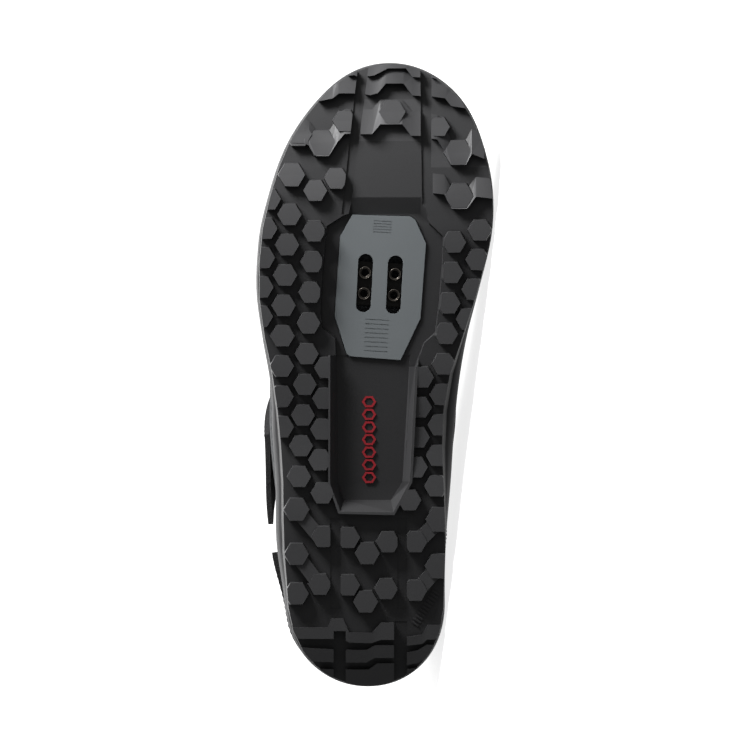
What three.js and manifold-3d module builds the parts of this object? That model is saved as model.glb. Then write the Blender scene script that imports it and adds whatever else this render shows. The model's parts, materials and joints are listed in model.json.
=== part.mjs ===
// Right cycling shoe with a lugged rubber outsole and a recessed cleat plate.
// Lengths are in millimetres. The shoe is drawn standing: x runs from heel to toe, y from the
// lateral side (negative) to the medial side (positive), and z up from the tips of the lugs.
// The group at the end turns it on to its medial side, the way it lies on a floor.
import * as THREE from 'three';
import { mergeVertices } from 'three/addons/utils/BufferGeometryUtils.js';
import { ConvexHull } from 'three/addons/math/ConvexHull.js';
import Module from 'manifold-3d';

const kernel = await Module();
kernel.setup();
const { clamp, degToRad, lerp, smoothstep } = THREE.MathUtils;

// Sole sizes
const soleLength = 293;
const soleWidth = 111;
const heelArc = 40;
const toeArc = 85;
const lugHeight = 4.5;
const lugDraft = 0.6;
const lugRoot = 1;
const rubberThickness = 5;
const toeSpring = 22;
const heelRise = 7;
const archRise = 2;
const heelFoam = 8.2;
const ballFoam = 3.8;
const rimHeight = 13;
const seamGap = 0.3;
const endRound = 2.06;

// Overlap of solids that are joined, how far a cut runs past what it opens, and the smallest
// cosine that a mitred corner of a grown outline may have
const weld = 0.5;
const cutThrough = 1;
const mitreLimit = 0.4;

// Lines of the ground under the lugs, in shares of soleLength, and the powers of their curves
const springStart = 0.7;
const springPower = 1.75;
const waistStart = 0.27;
const waistEnd = 0.53;
const bevelRun = 0.096;
const bevelPower = 1.8;
const foamThinsFrom = 0.24;
const foamThinsTo = 0.62;

// Lugs that slope towards the toe, in shares of the lug's height and of its half size
const rampDepth = 0.75;
const rampStart = 0.4;
const rampRun = 1.3;
const toeRowDepth = 0.7;
const barDrop = 0.2;

// Last and upper sizes
const lastHeight = 132;
const lastWidth = 100;
const upperWall = 2.6;
const collarPadding = 3;
const lastingMargin = 6;
const tongueThickness = 3.6;
const insoleThickness = 4;
const overlayThickness = 1.3;

// Places on the upper: along in shares of soleLength, up in shares of lastHeight
const undersideFrom = 0.06;
const undersideTo = 0.93;
const paddingTop = 0.48;
const paddingBottom = 0.26;
const paddingFrom = 0.42;
const paddingTo = 0.3;
const throatFloor = 0.3;

// Strap sizes
const strapThickness = 2.4;
const instepStrapWidth = 31;
const instepStrapSlope = 47;
const instepStrapLift = 4;
const heelStrapWidth = 21;
const heelStrapLift = 2.8;

// Places of the straps in the same shares
const instepStrapCentre = { along: 0.503, up: 0.63 };
const lateralStrapEnd = 0.22;
const medialStrapEnd = 0.36;
const instepLiftUp = 0.3;
const instepLiftFrom = 0.4;
const instepLiftTo = 0.24;
const heelStrapUp = 0.25;
const heelStrapFrom = 0.12;
const heelStrapTo = 0.213;
const heelStrapTaper = 0.1;
const heelStrapRear = -0.06;

// Cleat plate sizes
const plateFace = 6.5;
const plateThickness = 3;
const flangeWidth = 3.5;
const flangeThickness = 1.2;
const plateTurn = 3.2;
const slotLength = 27.3;
const slotWidth = 7;
const slotPitch = 14;
const nutPitch = 9.8;
const nutRadius = 3;
const nutBore = 2.1;
const nutPlateThickness = 1.7;
const nutDepth = 1;
const nutMargin = 4.5;
const windowMargin = 1.5;
const plateAlong = 0.644;
const plateAcross = 0.0187;
const recessFloor = 7.5;
const pocketFloor = 8;

// How finely the curved forms are faceted
const soleStations = 26;
const lastStations = 20;
const pointsAround = 24;
const barrelSides = 12;
const curvePieces = 10;
const slotPieces = 5;
const insoleSteps = 12;
const grooveSteps = 10;

// Outline of the sole. along is a share of the length, the rest are shares of the width.
// The tucks are how far the edge of the tread stands in from the rim.
const soleOutline = [
  { along: 0.0, half: 0.337, centre: -0.03, tuckLateral: 0.009, tuckMedial: 0.006 },
  { along: 0.137, half: 0.339, centre: -0.044, tuckLateral: 0.017, tuckMedial: 0.006 },
  { along: 0.233, half: 0.358, centre: -0.0585, tuckLateral: 0.033, tuckMedial: 0.003 },
  { along: 0.33, half: 0.37, centre: -0.05, tuckLateral: 0.033, tuckMedial: 0.032 },
  { along: 0.404, half: 0.383, centre: -0.05, tuckLateral: 0.032, tuckMedial: 0.05 },
  { along: 0.483, half: 0.397, centre: -0.044, tuckLateral: 0.017, tuckMedial: 0.049 },
  { along: 0.56, half: 0.4315, centre: -0.044, tuckLateral: 0.011, tuckMedial: 0.019 },
  { along: 0.634, half: 0.469, centre: -0.0315, tuckLateral: 0.0126, tuckMedial: 0.006 },
  { along: 0.712, half: 0.49, centre: -0.002, tuckLateral: 0.0126, tuckMedial: 0.003 },
  { along: 0.788, half: 0.49, centre: 0.025, tuckLateral: 0.011, tuckMedial: 0.004 },
  { along: 0.865, half: 0.49, centre: 0.042, tuckLateral: 0.01, tuckMedial: 0.006 },
  { along: 0.942, half: 0.49, centre: 0.063, tuckLateral: 0.009, tuckMedial: 0.009 },
  { along: 1.0, half: 0.49, centre: 0.063, tuckLateral: 0.009, tuckMedial: 0.009 },
];

// Height of the midsole's rim above the foot bed, in shares of rimHeight.
const rimLine = [
  { along: 0.0, up: 1.08 },
  { along: 0.16, up: 1.0 },
  { along: 0.4, up: 0.7 },
  { along: 0.52, up: 0.72 },
  { along: 0.68, up: 0.9 },
  { along: 0.85, up: 0.98 },
  { along: 0.95, up: 1.15 },
  { along: 1.0, up: 1.25 },
];

// Side of the midsole from its lower edge up: up is a share of the side's height, flare goes
// from the tread's edge to the rim, and inset is a share of rimHeight.
const midsoleSide = [
  { up: 0.0, flare: 0.3, inset: 0 },
  { up: 0.09, flare: 0.62, inset: 0 },
  { up: 0.34, flare: 1, inset: 0 },
  { up: 0.52, flare: 1, inset: 0.008 },
  { up: 0.56, flare: 1, inset: 0.062 },
  { up: 0.64, flare: 1, inset: 0.062 },
  { up: 0.68, flare: 1, inset: 0.015 },
  { up: 1.0, flare: 1, inset: 0.069 },
];

// Sections of the last, from the top of the ankle to the tip of the toe. Each one is a slice
// between a point at the sole or heel and a point on the ridge of the foot. foot and ridge are
// shares of soleLength, lift and height are shares of lastHeight above the foot bed, the
// widths and sways are shares of lastWidth, and the rounds are superellipse powers.
const lastSections = [
  { foot: 0.05, lift: 0.85, ridge: 0.342, height: 1.08, lateral: 0.36, medial: 0.28,
    soleSway: -0.045, ridgeSway: -0.05, belly: 0.5, soleRound: 2.2, ridgeRound: 2.4 },
  { foot: 0.034, lift: 0.47, ridge: 0.353, height: 0.98, lateral: 0.355, medial: 0.28,
    soleSway: -0.045, ridgeSway: -0.05, belly: 0.46, soleRound: 2.2, ridgeRound: 2.4 },
  { foot: 0.022, lift: 0.318, ridge: 0.356, height: 0.964, lateral: 0.36, medial: 0.275,
    soleSway: -0.045, ridgeSway: -0.05, belly: 0.41, soleRound: 2.3, ridgeRound: 2.4 },
  { foot: 0.019, lift: 0.182, ridge: 0.361, height: 0.942, lateral: 0.368, medial: 0.27,
    soleSway: -0.042, ridgeSway: -0.05, belly: 0.37, soleRound: 2.3, ridgeRound: 2.35 },
  { foot: 0.029, lift: 0.068, ridge: 0.366, height: 0.919, lateral: 0.378, medial: 0.28,
    soleSway: -0.04, ridgeSway: -0.05, belly: 0.33, soleRound: 2.5, ridgeRound: 2.3 },
  { foot: 0.085, lift: 0.002, ridge: 0.377, height: 0.882, lateral: 0.395, medial: 0.305,
    soleSway: -0.045, ridgeSway: -0.045, belly: 0.31, soleRound: 2.9, ridgeRound: 2.25 },
  { foot: 0.178, lift: 0.0, ridge: 0.39, height: 0.837, lateral: 0.425, medial: 0.318,
    soleSway: -0.05, ridgeSway: -0.04, belly: 0.3, soleRound: 3.1, ridgeRound: 2.2 },
  { foot: 0.281, lift: 0.0, ridge: 0.414, height: 0.779, lateral: 0.468, medial: 0.335,
    soleSway: -0.055, ridgeSway: -0.03, belly: 0.3, soleRound: 3.2, ridgeRound: 2.15 },
  { foot: 0.384, lift: 0.0, ridge: 0.449, height: 0.715, lateral: 0.495, medial: 0.365,
    soleSway: -0.055, ridgeSway: -0.015, belly: 0.32, soleRound: 3.2, ridgeRound: 2.1 },
  { foot: 0.479, lift: 0.0, ridge: 0.503, height: 0.633, lateral: 0.495, medial: 0.39,
    soleSway: -0.05, ridgeSway: 0.0, belly: 0.33, soleRound: 3.2, ridgeRound: 2.1 },
  { foot: 0.575, lift: 0.0, ridge: 0.579, height: 0.547, lateral: 0.505, medial: 0.43,
    soleSway: -0.04, ridgeSway: 0.03, belly: 0.35, soleRound: 3.2, ridgeRound: 2.1 },
  { foot: 0.668, lift: 0.0, ridge: 0.661, height: 0.468, lateral: 0.51, medial: 0.48,
    soleSway: -0.03, ridgeSway: 0.05, belly: 0.38, soleRound: 3.1, ridgeRound: 2.2 },
  { foot: 0.753, lift: 0.0, ridge: 0.75, height: 0.417, lateral: 0.485, medial: 0.515,
    soleSway: 0.014, ridgeSway: 0.06, belly: 0.4, soleRound: 3.0, ridgeRound: 2.25 },
  { foot: 0.839, lift: 0.0, ridge: 0.839, height: 0.362, lateral: 0.395, medial: 0.475,
    soleSway: 0.04, ridgeSway: 0.065, belly: 0.42, soleRound: 2.9, ridgeRound: 2.3 },
  { foot: 0.904, lift: 0.0, ridge: 0.904, height: 0.311, lateral: 0.295, medial: 0.405,
    soleSway: 0.055, ridgeSway: 0.07, belly: 0.44, soleRound: 2.7, ridgeRound: 2.3 },
  { foot: 0.945, lift: 0.006, ridge: 0.949, height: 0.238, lateral: 0.2, medial: 0.325,
    soleSway: 0.065, ridgeSway: 0.07, belly: 0.46, soleRound: 2.5, ridgeRound: 2.3 },
  { foot: 0.969, lift: 0.012, ridge: 0.9726, height: 0.164, lateral: 0.12, medial: 0.25,
    soleSway: 0.068, ridgeSway: 0.07, belly: 0.48, soleRound: 2.3, ridgeRound: 2.2 },
  { foot: 0.979, lift: 0.03, ridge: 0.983, height: 0.085, lateral: 0.04, medial: 0.175,
    soleSway: 0.07, ridgeSway: 0.07, belly: 0.5, soleRound: 2.1, ridgeRound: 2.1 },
];

// Collar line in the side view: along in shares of soleLength, up in shares of lastHeight
// above the heel's bed.
const collarLine = [
  { along: -0.05, up: 0.62 },
  { along: 0.04, up: 0.61 },
  { along: 0.17, up: 0.475 },
  { along: 0.285, up: 0.56 },
  { along: 0.35, up: 0.72 },
  { along: 0.4, up: 0.82 },
];

// Throat in plan, in shares of soleLength and lastWidth.
const throatLine = [
  { along: 0.28, lateral: -0.25, medial: 0.15 },
  { along: 0.41, lateral: -0.22, medial: 0.15 },
  { along: 0.515, lateral: -0.165, medial: 0.165 },
  { along: 0.575, lateral: -0.125, medial: 0.165 },
  { along: 0.61, lateral: -0.085, medial: 0.15 },
  { along: 0.637, lateral: -0.02, medial: 0.105 },
];

// Tongue in plan, in the same shares, and the heights that it runs between.
const tongueOutline = [
  { along: 0.29, across: -0.35 }, { along: 0.685, across: -0.15 },
  { along: 0.685, across: 0.22 }, { along: 0.29, across: 0.25 },
];
const tongueLow = 0.22;
const tongueHigh = 0.91;

// Overlays in the side view, in shares of soleLength and of lastHeight above the heel's bed.
const toeCapOutline = [
  { along: 0.87, up: -0.2 }, { along: 1.1, up: -0.2 }, { along: 1.1, up: 1.1 },
  { along: 0.8, up: 1.1 }, { along: 0.8, up: 0.4 },
];
const heelCounterOutline = [
  { along: -0.1, up: -0.2 }, { along: 0.3, up: -0.2 }, { along: 0.25, up: 0.2 },
  { along: 0.12, up: 0.42 }, { along: -0.1, up: 0.5 },
];

// Lines of hexagonal lugs. The places are shares of soleLength and soleWidth, bow is how far
// the middle of the line stands off a straight one, and size is across the corners, a share of
// soleWidth.
const lugLines = [
  { name: 'outer lateral', count: 5, along: 0.779, across: -0.446, endAlong: 0.592,
    endAcross: -0.479, bow: -0.008, size: 0.1 },
  { name: 'second lateral', count: 8, along: 0.7545, across: -0.36, endAlong: 0.416,
    endAcross: -0.392, bow: -0.011, size: 0.1018 },
  { name: 'third lateral', count: 9, along: 0.728, across: -0.256, endAlong: 0.3366,
    endAcross: -0.319, bow: 0, size: 0.1 },
  { name: 'lateral rail', count: 4, along: 0.5103, across: -0.206, endAlong: 0.363,
    endAcross: -0.2315, bow: 0, size: 0.1 },
  { name: 'second medial', count: 9, along: 0.7103, across: 0.3333, endAlong: 0.3216,
    endAcross: 0.2568, bow: -0.006, size: 0.1 },
  { name: 'outer medial', count: 4, along: 0.7295, across: 0.4414, endAlong: 0.588,
    endAcross: 0.39, bow: 0.008, size: 0.1 },
  { name: 'medial rail', count: 4, along: 0.495, across: 0.198, endAlong: 0.3517,
    endAcross: 0.172, bow: 0, size: 0.1 },
];

// Single lugs: places and sizes in the same shares, and ramp for the ones whose toe side
// slopes down into the rubber.
const singleLugs = [
  { along: 0.8694, across: -0.2252, size: 0.122, ramp: 0.55 },
  { along: 0.9045, across: -0.1278, size: 0.1, ramp: 0.55 },
  { along: 0.883, across: -0.322, size: 0.112, ramp: 1 },
  { along: 0.9193, across: 0.073, size: 0.112, ramp: 0.55 },
  { along: 0.8952, across: 0.2703, size: 0.09, ramp: 0.55 },
  { along: 0.8538, across: 0.3506, size: 0.12, ramp: 0.55 },
  { along: 0.8182, across: -0.351, size: 0.1126, ramp: 0.5 },
  { along: 0.7928, across: -0.2515, size: 0.1, ramp: 0.5 },
  { along: 0.8123, across: -0.163, size: 0.1, ramp: 0.5 },
  { along: 0.7846, across: 0.3555, size: 0.118, ramp: 0.4 },
  { along: 0.3103, across: -0.2207, size: 0.1, ramp: 0 },
  { along: 0.2993, across: 0.145, size: 0.1, ramp: 0 },
  { along: 0.2842, across: -0.33, size: 0.1081, ramp: 0 },
  { along: 0.2408, across: -0.218, size: 0.1, ramp: 0 },
  { along: 0.2394, across: -0.1126, size: 0.1, ramp: 0 },
  { along: 0.2144, across: -0.0324, size: 0.1054, ramp: 0 },
  { along: 0.2325, across: 0.055, size: 0.1, ramp: 0 },
  { along: 0.2325, across: 0.17, size: 0.1, ramp: 0 },
  { along: 0.2682, across: 0.272, size: 0.1171, ramp: 0 },
  { along: 0.213, across: -0.33, size: 0.1036, ramp: 0 },
  { along: 0.1647, across: -0.2315, size: 0.1, ramp: 0 },
  { along: 0.1637, across: -0.1126, size: 0.1, ramp: 0 },
  { along: 0.1373, across: -0.0396, size: 0.1054, ramp: 0 },
  { along: 0.1579, across: 0.0468, size: 0.1, ramp: 0 },
  { along: 0.1551, across: 0.17, size: 0.1, ramp: 0 },
  { along: 0.1938, across: 0.2685, size: 0.1171, ramp: 0 },
  { along: 0.15, across: -0.33, size: 0.1036, ramp: 0 },
];

// Low bars that join pairs of lugs on the heel, from one place to another.
const lugBars = [
  { along: 0.2842, across: -0.33, endAlong: 0.2408, endAcross: -0.235, width: 0.0586 },
  { along: 0.213, across: -0.33, endAlong: 0.1647, endAcross: -0.235, width: 0.0586 },
  { along: 0.2682, across: 0.272, endAlong: 0.2325, endAcross: 0.18, width: 0.0631 },
  { along: 0.1938, across: 0.2685, endAlong: 0.1551, endAcross: 0.18, width: 0.0631 },
];

// Stepped rows at the toe, and the clusters of lugs behind them. rear is the zigzag edge that
// faces the heel, and each row ramps up to it over the run in front.
const toeRows = [
  { run: 0.03, edge: [
    { across: -0.16, rear: 0.975 }, { across: -0.088, rear: 0.9785 },
    { across: -0.066, rear: 0.9745 }, { across: -0.014, rear: 0.9773 },
    { across: 0.0, rear: 0.9785 }, { across: 0.054, rear: 0.9895 },
    { across: 0.13, rear: 0.9895 }, { across: 0.158, rear: 0.9755 },
    { across: 0.24, rear: 0.9743 }, { across: 0.34, rear: 0.965 } ] },
  { run: 0.03, edge: [
    { across: -0.4, rear: 0.925 }, { across: -0.24, rear: 0.936 },
    { across: -0.178, rear: 0.941 }, { across: -0.152, rear: 0.949 },
    { across: -0.07, rear: 0.949 }, { across: -0.02, rear: 0.946 },
    { across: 0.012, rear: 0.9495 }, { across: 0.046, rear: 0.965 },
    { across: 0.12, rear: 0.965 }, { across: 0.158, rear: 0.9455 },
    { across: 0.24, rear: 0.944 }, { across: 0.296, rear: 0.941 },
    { across: 0.321, rear: 0.9285 }, { across: 0.45, rear: 0.921 } ] },
  { run: 0.04, edge: [
    { across: -0.3469, rear: 0.8695 }, { across: -0.2983, rear: 0.8685 },
    { across: -0.2776, rear: 0.8648 }, { across: -0.2496, rear: 0.8482 },
    { across: -0.1948, rear: 0.8482 }, { across: -0.1583, rear: 0.8704 },
    { across: -0.1278, rear: 0.8838 }, { across: -0.1023, rear: 0.8838 } ] },
  { run: 0.04, edge: [
    { across: -0.0609, rear: 0.8834 }, { across: -0.0122, rear: 0.8834 },
    { across: 0.0219, rear: 0.8991 }, { across: 0.1157, rear: 0.8991 },
    { across: 0.1522, rear: 0.8806 }, { across: 0.1924, rear: 0.8806 } ] },
  { run: 0.04, edge: [
    { across: 0.2277, rear: 0.8764 }, { across: 0.2617, rear: 0.875 },
    { across: 0.2922, rear: 0.8561 }, { across: 0.3226, rear: 0.8344 },
    { across: 0.3835, rear: 0.8344 }, { across: 0.4078, rear: 0.8519 },
    { across: 0.4602, rear: 0.8436 } ] },
  { run: 0.032, edge: [
    { across: 0.2433, rear: 0.7886 }, { across: 0.292, rear: 0.7867 },
    { across: 0.3224, rear: 0.7637 }, { across: 0.3869, rear: 0.7637 },
    { across: 0.4258, rear: 0.783 }, { across: 0.4964, rear: 0.7798 } ] },
];

// Bands around the back of the heel, each with a front edge that steps towards the toe.
const heelBands = [
  [
    { across: -0.45, front: 0.0965, rear: 0.078 }, { across: -0.2, front: 0.096, rear: 0.078 },
    { across: -0.183, front: 0.1106, rear: 0.078 }, { across: -0.134, front: 0.1106, rear: 0.077 },
    { across: -0.108, front: 0.0885, rear: 0.072 }, { across: -0.014, front: 0.0873, rear: 0.0712 },
    { across: 0.025, front: 0.1041, rear: 0.0764 }, { across: 0.08, front: 0.1041, rear: 0.0764 },
    { across: 0.134, front: 0.081, rear: 0.067 }, { across: 0.198, front: 0.085, rear: 0.07 },
    { across: 0.221, front: 0.1003, rear: 0.077 }, { across: 0.35, front: 0.1, rear: 0.077 },
  ],
  [
    { across: -0.45, front: 0.0671, rear: 0.0438 }, { across: -0.123, front: 0.0603, rear: 0.04 },
    { across: -0.036, front: 0.0603, rear: 0.04 }, { across: 0.0, front: 0.0678, rear: 0.0475 },
    { across: 0.08, front: 0.0678, rear: 0.0475 }, { across: 0.134, front: 0.0562, rear: 0.036 },
    { across: 0.18, front: 0.06, rear: 0.0394 }, { across: 0.216, front: 0.0685, rear: 0.048 },
    { across: 0.35, front: 0.0685, rear: 0.048 },
  ],
  [
    { across: -0.45, front: 0.0315, rear: -0.02 }, { across: -0.123, front: 0.0288, rear: -0.02 },
    { across: -0.027, front: 0.0288, rear: -0.02 }, { across: 0.009, front: 0.0387, rear: -0.02 },
    { across: 0.08, front: 0.039, rear: -0.02 }, { across: 0.134, front: 0.029, rear: -0.02 },
    { across: 0.18, front: 0.0325, rear: -0.02 }, { across: 0.234, front: 0.0428, rear: -0.02 },
    { across: 0.35, front: 0.0428, rear: -0.02 },
  ],
];

// Straight grooves along the sole: a pair of edges at the heel end and another at the toe end.
// depth is how far each one is cut into the rubber below the lugs, a share of lugHeight.
const grooves = [
  { along: 0.755, from: -0.141, to: -0.107, endAlong: 1.02, endFrom: -0.064, endTo: -0.018,
    depth: 0.2 },
  { along: 0.755, from: 0.199, to: 0.235, endAlong: 1.02, endFrom: 0.19, endTo: 0.24,
    depth: 0.2 },
  { along: 0.125, from: -0.188, to: -0.145, endAlong: 0.27, endFrom: -0.188, endTo: -0.145,
    depth: 0.09 },
  { along: 0.125, from: 0.0946, to: 0.134, endAlong: 0.27, endFrom: 0.0946, endTo: 0.134,
    depth: 0.09 },
  { along: -0.03, from: -0.174, to: -0.1234, endAlong: 0.0904, endFrom: -0.174,
    endTo: -0.1234, depth: 0.09 },
  { along: -0.03, from: 0.0802, to: 0.134, endAlong: 0.106, endFrom: 0.0802, endTo: 0.134,
    depth: 0.09 },
];

// Mouth of the cleat recess, of the pocket behind it, and the floors that they slope down to.
const recessMouth = [
  { along: 0.816, across: -0.1 }, { along: 0.7558, across: -0.1414 },
  { along: 0.739, across: -0.21 }, { along: 0.6565, across: -0.228 },
  { along: 0.5959, across: -0.2351 }, { along: 0.5712, across: -0.228 },
  { along: 0.5548, across: -0.174 }, { along: 0.512, across: -0.17 },
  { along: 0.512, across: 0.1775 }, { along: 0.5466, across: 0.2135 },
  { along: 0.563, across: 0.2613 }, { along: 0.6182, across: 0.2793 },
  { along: 0.6733, across: 0.29 }, { along: 0.7226, across: 0.2937 },
  { along: 0.7449, across: 0.2315 }, { along: 0.816, across: 0.19 },
];
const recessBottom = [
  { along: 0.756, across: -0.1 }, { along: 0.7503, across: -0.135 },
  { along: 0.7349, across: -0.2 }, { along: 0.6551, across: -0.219 },
  { along: 0.5979, across: -0.2261 }, { along: 0.575, across: -0.22 },
  { along: 0.5589, across: -0.164 }, { along: 0.512, across: -0.16 },
  { along: 0.512, across: 0.1675 }, { along: 0.5507, across: 0.2045 },
  { along: 0.5671, across: 0.2523 }, { along: 0.6196, across: 0.2703 },
  { along: 0.6733, across: 0.281 }, { along: 0.7185, across: 0.2847 },
  { along: 0.7394, across: 0.2265 }, { along: 0.756, across: 0.19 },
];
const pocketRail = [
  { along: 0.53, across: -0.196 }, { along: 0.3236, across: -0.197 },
  { along: 0.2774, across: -0.154 }, { along: 0.2753, across: 0.0811 },
  { along: 0.3271, across: 0.1568 }, { along: 0.53, across: 0.184 },
];
const pocketMouth = [
  { along: 0.53, across: -0.188 }, { along: 0.3253, across: -0.189 },
  { along: 0.2808, across: -0.1459 }, { along: 0.2795, across: 0.0775 },
  { along: 0.3288, across: 0.1468 }, { along: 0.53, across: 0.174 },
];
const pocketBottom = [
  { along: 0.53, across: -0.16 }, { along: 0.3271, across: -0.155 },
  { along: 0.2993, across: -0.1306 }, { along: 0.2993, across: 0.0676 },
  { along: 0.3288, across: 0.1153 }, { along: 0.53, across: 0.1468 },
];

// Outline of the cleat plate.
const plateOutline = [
  { along: 0.7545, across: -0.0946 }, { along: 0.7199, across: -0.1468 },
  { along: 0.5935, across: -0.1703 }, { along: 0.5325, across: -0.1198 },
  { along: 0.5284, across: -0.1054 }, { along: 0.5223, across: 0.1081 },
  { along: 0.589, across: 0.1919 }, { along: 0.7089, across: 0.2153 },
  { along: 0.7462, across: 0.1703 }, { along: 0.7517, across: 0.1486 },
];

// Looks and weights of the materials. density is in grams a cubic centimetre.
const materials = {
  rubber: { color: 0x303134, roughness: 0.85, metalness: 0, density: 1.12 },
  foam: { color: 0x5c5d5f, roughness: 0.8, metalness: 0, density: 0.3 },
  glassNylon: { color: 0x6a6f72, roughness: 0.5, metalness: 0, density: 1.35 },
  blackSteel: { color: 0x1a1a1c, roughness: 0.35, metalness: 0.9, density: 7.8 },
  mesh: { color: 0x303236, roughness: 0.9, metalness: 0, density: 0.55 },
  coatedFabric: { color: 0x212225, roughness: 0.6, metalness: 0, density: 1.1 },
  lining: { color: 0x3c3e42, roughness: 0.95, metalness: 0, density: 0.25 },
  webbing: { color: 0x151517, roughness: 0.9, metalness: 0, density: 0.8 },
};

// A smooth curve through one column of a table, by its along values.
function smooth(rows, column, at) {
  const last = rows.length - 1;
  const found = rows.findIndex((row) => row.along > at);
  const next = found < 0 ? last : Math.max(found, 1);
  const slope = (place) => {
    const before = rows[Math.max(place - 1, 0)];
    const after = rows[Math.min(place + 1, last)];
    return (after[column] - before[column]) / (after.along - before.along);
  };
  const from = rows[next - 1];
  const to = rows[next];
  const run = to.along - from.along;
  const t = clamp((at - from.along) / run, 0, 1);
  const rising = t * t * (3 - 2 * t);
  const leaving = t * (1 - t) * (1 - t) * run * slope(next - 1);
  const arriving = t * t * (t - 1) * run * slope(next);
  return lerp(from[column], to[column], rising) + leaving + arriving;
}

// How far the tips of the lugs rise off the floor at the toe and at the waist.
function springRise(x) {
  const share = x / soleLength;
  const toward = Math.max(share - springStart, 0) / (1 - springStart);
  const waist = clamp((share - waistStart) / (waistEnd - waistStart), 0, 1);
  return toeSpring * toward ** springPower + archRise * Math.sin(Math.PI * waist) ** 2;
}

// The same with the bevel at the back of the heel.
function groundRise(x) {
  const back = clamp(1 - x / (bevelRun * soleLength), 0, 1.2);
  return springRise(x) + heelRise * back ** bevelPower;
}

function rubberTop(x) {
  return groundRise(x) + lugHeight + rubberThickness;
}

function bedHeight(x) {
  const forward = smoothstep(x / soleLength, foamThinsFrom, foamThinsTo);
  const foam = lerp(heelFoam, ballFoam, forward);
  return springRise(x) + lugHeight + rubberThickness + seamGap + foam;
}

function rimTop(x) {
  return bedHeight(x) + rimHeight * smooth(rimLine, 'up', x / soleLength);
}

// The pair of edge points at one station of the sole. flare 0 is the edge of the tread and
// flare 1 is the rim.
function soleEdge(share, flare, inset) {
  const row = (column) => smooth(soleOutline, column, share) * soleWidth;
  const endTuck = inset + (1 - flare) * row('tuckMedial');
  const x = lerp(inset + endTuck, soleLength - inset - endTuck, share);
  const heelSide = clamp(1 - (share * soleLength) / heelArc, 0, 1);
  const toeSide = clamp(1 - ((1 - share) * soleLength) / toeArc, 0, 1);
  const round = (1 - Math.max(heelSide, toeSide) ** endRound) ** (1 / endRound);
  const lateral = row('half') - inset - (1 - flare) * row('tuckLateral');
  const medial = row('half') - inset - (1 - flare) * row('tuckMedial');
  const centre = row('centre');
  return { x, lateral: centre - lateral * round, medial: centre + medial * round };
}

// One ring of points around the sole at a height given for each x.
function soleRing(flare, inset, heightAt) {
  const near = [];
  const far = [];
  for (let station = 0; station <= soleStations; station += 1) {
    const share = (1 - Math.cos((Math.PI * station) / soleStations)) / 2;
    const edge = soleEdge(share, flare, inset);
    const z = heightAt(edge.x);
    near.push(new THREE.Vector3(edge.x, edge.lateral, z));
    far.unshift(new THREE.Vector3(edge.x, edge.medial, z));
  }
  return [...near, ...far];
}

// Triangles that close a ring by strips between its near and its far half.
function stripCap(start, size, facing) {
  const faces = [];
  for (let i = 0; i + 1 < size / 2; i += 1) {
    const corners = [start + i, start + i + 1, start + size - 2 - i, start + size - 1 - i];
    const [a, b, c, d] = facing > 0 ? corners : corners.reverse();
    faces.push(a, b, c, a, c, d);
  }
  return faces;
}

// A closed form through rings with the same number of points.
function formThrough(rings) {
  const size = rings[0].length;
  const corners = rings.flat();
  const faces = [];
  for (let level = 0; level + 1 < rings.length; level += 1) {
    for (let i = 0; i < size; i += 1) {
      const a = level * size + i;
      const b = level * size + ((i + 1) % size);
      faces.push(a, b, b + size, a, b + size, a + size);
    }
  }
  faces.push(...stripCap(0, size, -1), ...stripCap(corners.length - size, size, 1));
  const geometry = new THREE.BufferGeometry().setFromPoints(corners);
  geometry.setIndex(faces);
  return geometry;
}

// A solid from a closed geometry, with its shared corners merged.
function solidOf(geometry) {
  const plain = geometry.clone();
  plain.deleteAttribute('normal');
  plain.deleteAttribute('uv');
  const merged = mergeVertices(plain, 1e-4);
  const order = merged.getIndex().array;
  const faces = [];
  for (let i = 0; i < order.length; i += 3) {
    const [a, b, c] = [order[i], order[i + 1], order[i + 2]];
    if (a !== b && b !== c && c !== a) faces.push(a, b, c);
  }
  const corners = new Float32Array(merged.getAttribute('position').array);
  const shape = { numProp: 3, vertProperties: corners, triVerts: new Uint32Array(faces) };
  return new kernel.Manifold(new kernel.Mesh(shape));
}

function geometryOf(solid) {
  const { vertProperties, triVerts } = solid.getMesh();
  const geometry = new THREE.BufferGeometry();
  geometry.setAttribute('position', new THREE.BufferAttribute(vertProperties, 3));
  geometry.setIndex(new THREE.BufferAttribute(triVerts, 1));
  geometry.computeVertexNormals();
  return geometry;
}

// The largest body of a solid, without the slivers that a cut can leave.
function mainBody(solid) {
  return solid.decompose().reduce((best, body) => (body.volume() > best.volume() ? body : best));
}

function joined(solids) {
  return solids.reduce((sum, solid) => sum.add(solid));
}

// A block whose outline is drawn in the side view, from one y to another.
function sideBlock(points, fromY, toY) {
  const outline = new THREE.Shape(points.map(([x, z]) => new THREE.Vector2(x, z)));
  const block = new THREE.ExtrudeGeometry(outline, { depth: toY - fromY, bevelEnabled: false });
  block.rotateX(Math.PI / 2);
  block.translate(0, toY, 0);
  return solidOf(block);
}

// A block whose outline is drawn in plan, from one height to another.
function planBlock(points, fromZ, toZ) {
  const outline = new THREE.Shape(points);
  const block = new THREE.ExtrudeGeometry(outline, { depth: toZ - fromZ, bevelEnabled: false });
  block.translate(0, 0, fromZ);
  return solidOf(block);
}

function planPoint(row) {
  return new THREE.Vector2(row.along * soleLength, row.across * soleWidth);
}

// A height on the upper, from a share of lastHeight above the heel's bed.
function heightOf(up) {
  return bedHeight(0) + up * lastHeight;
}

function sidePoint(row) {
  return [row.along * soleLength, heightOf(row.up)];
}

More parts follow.
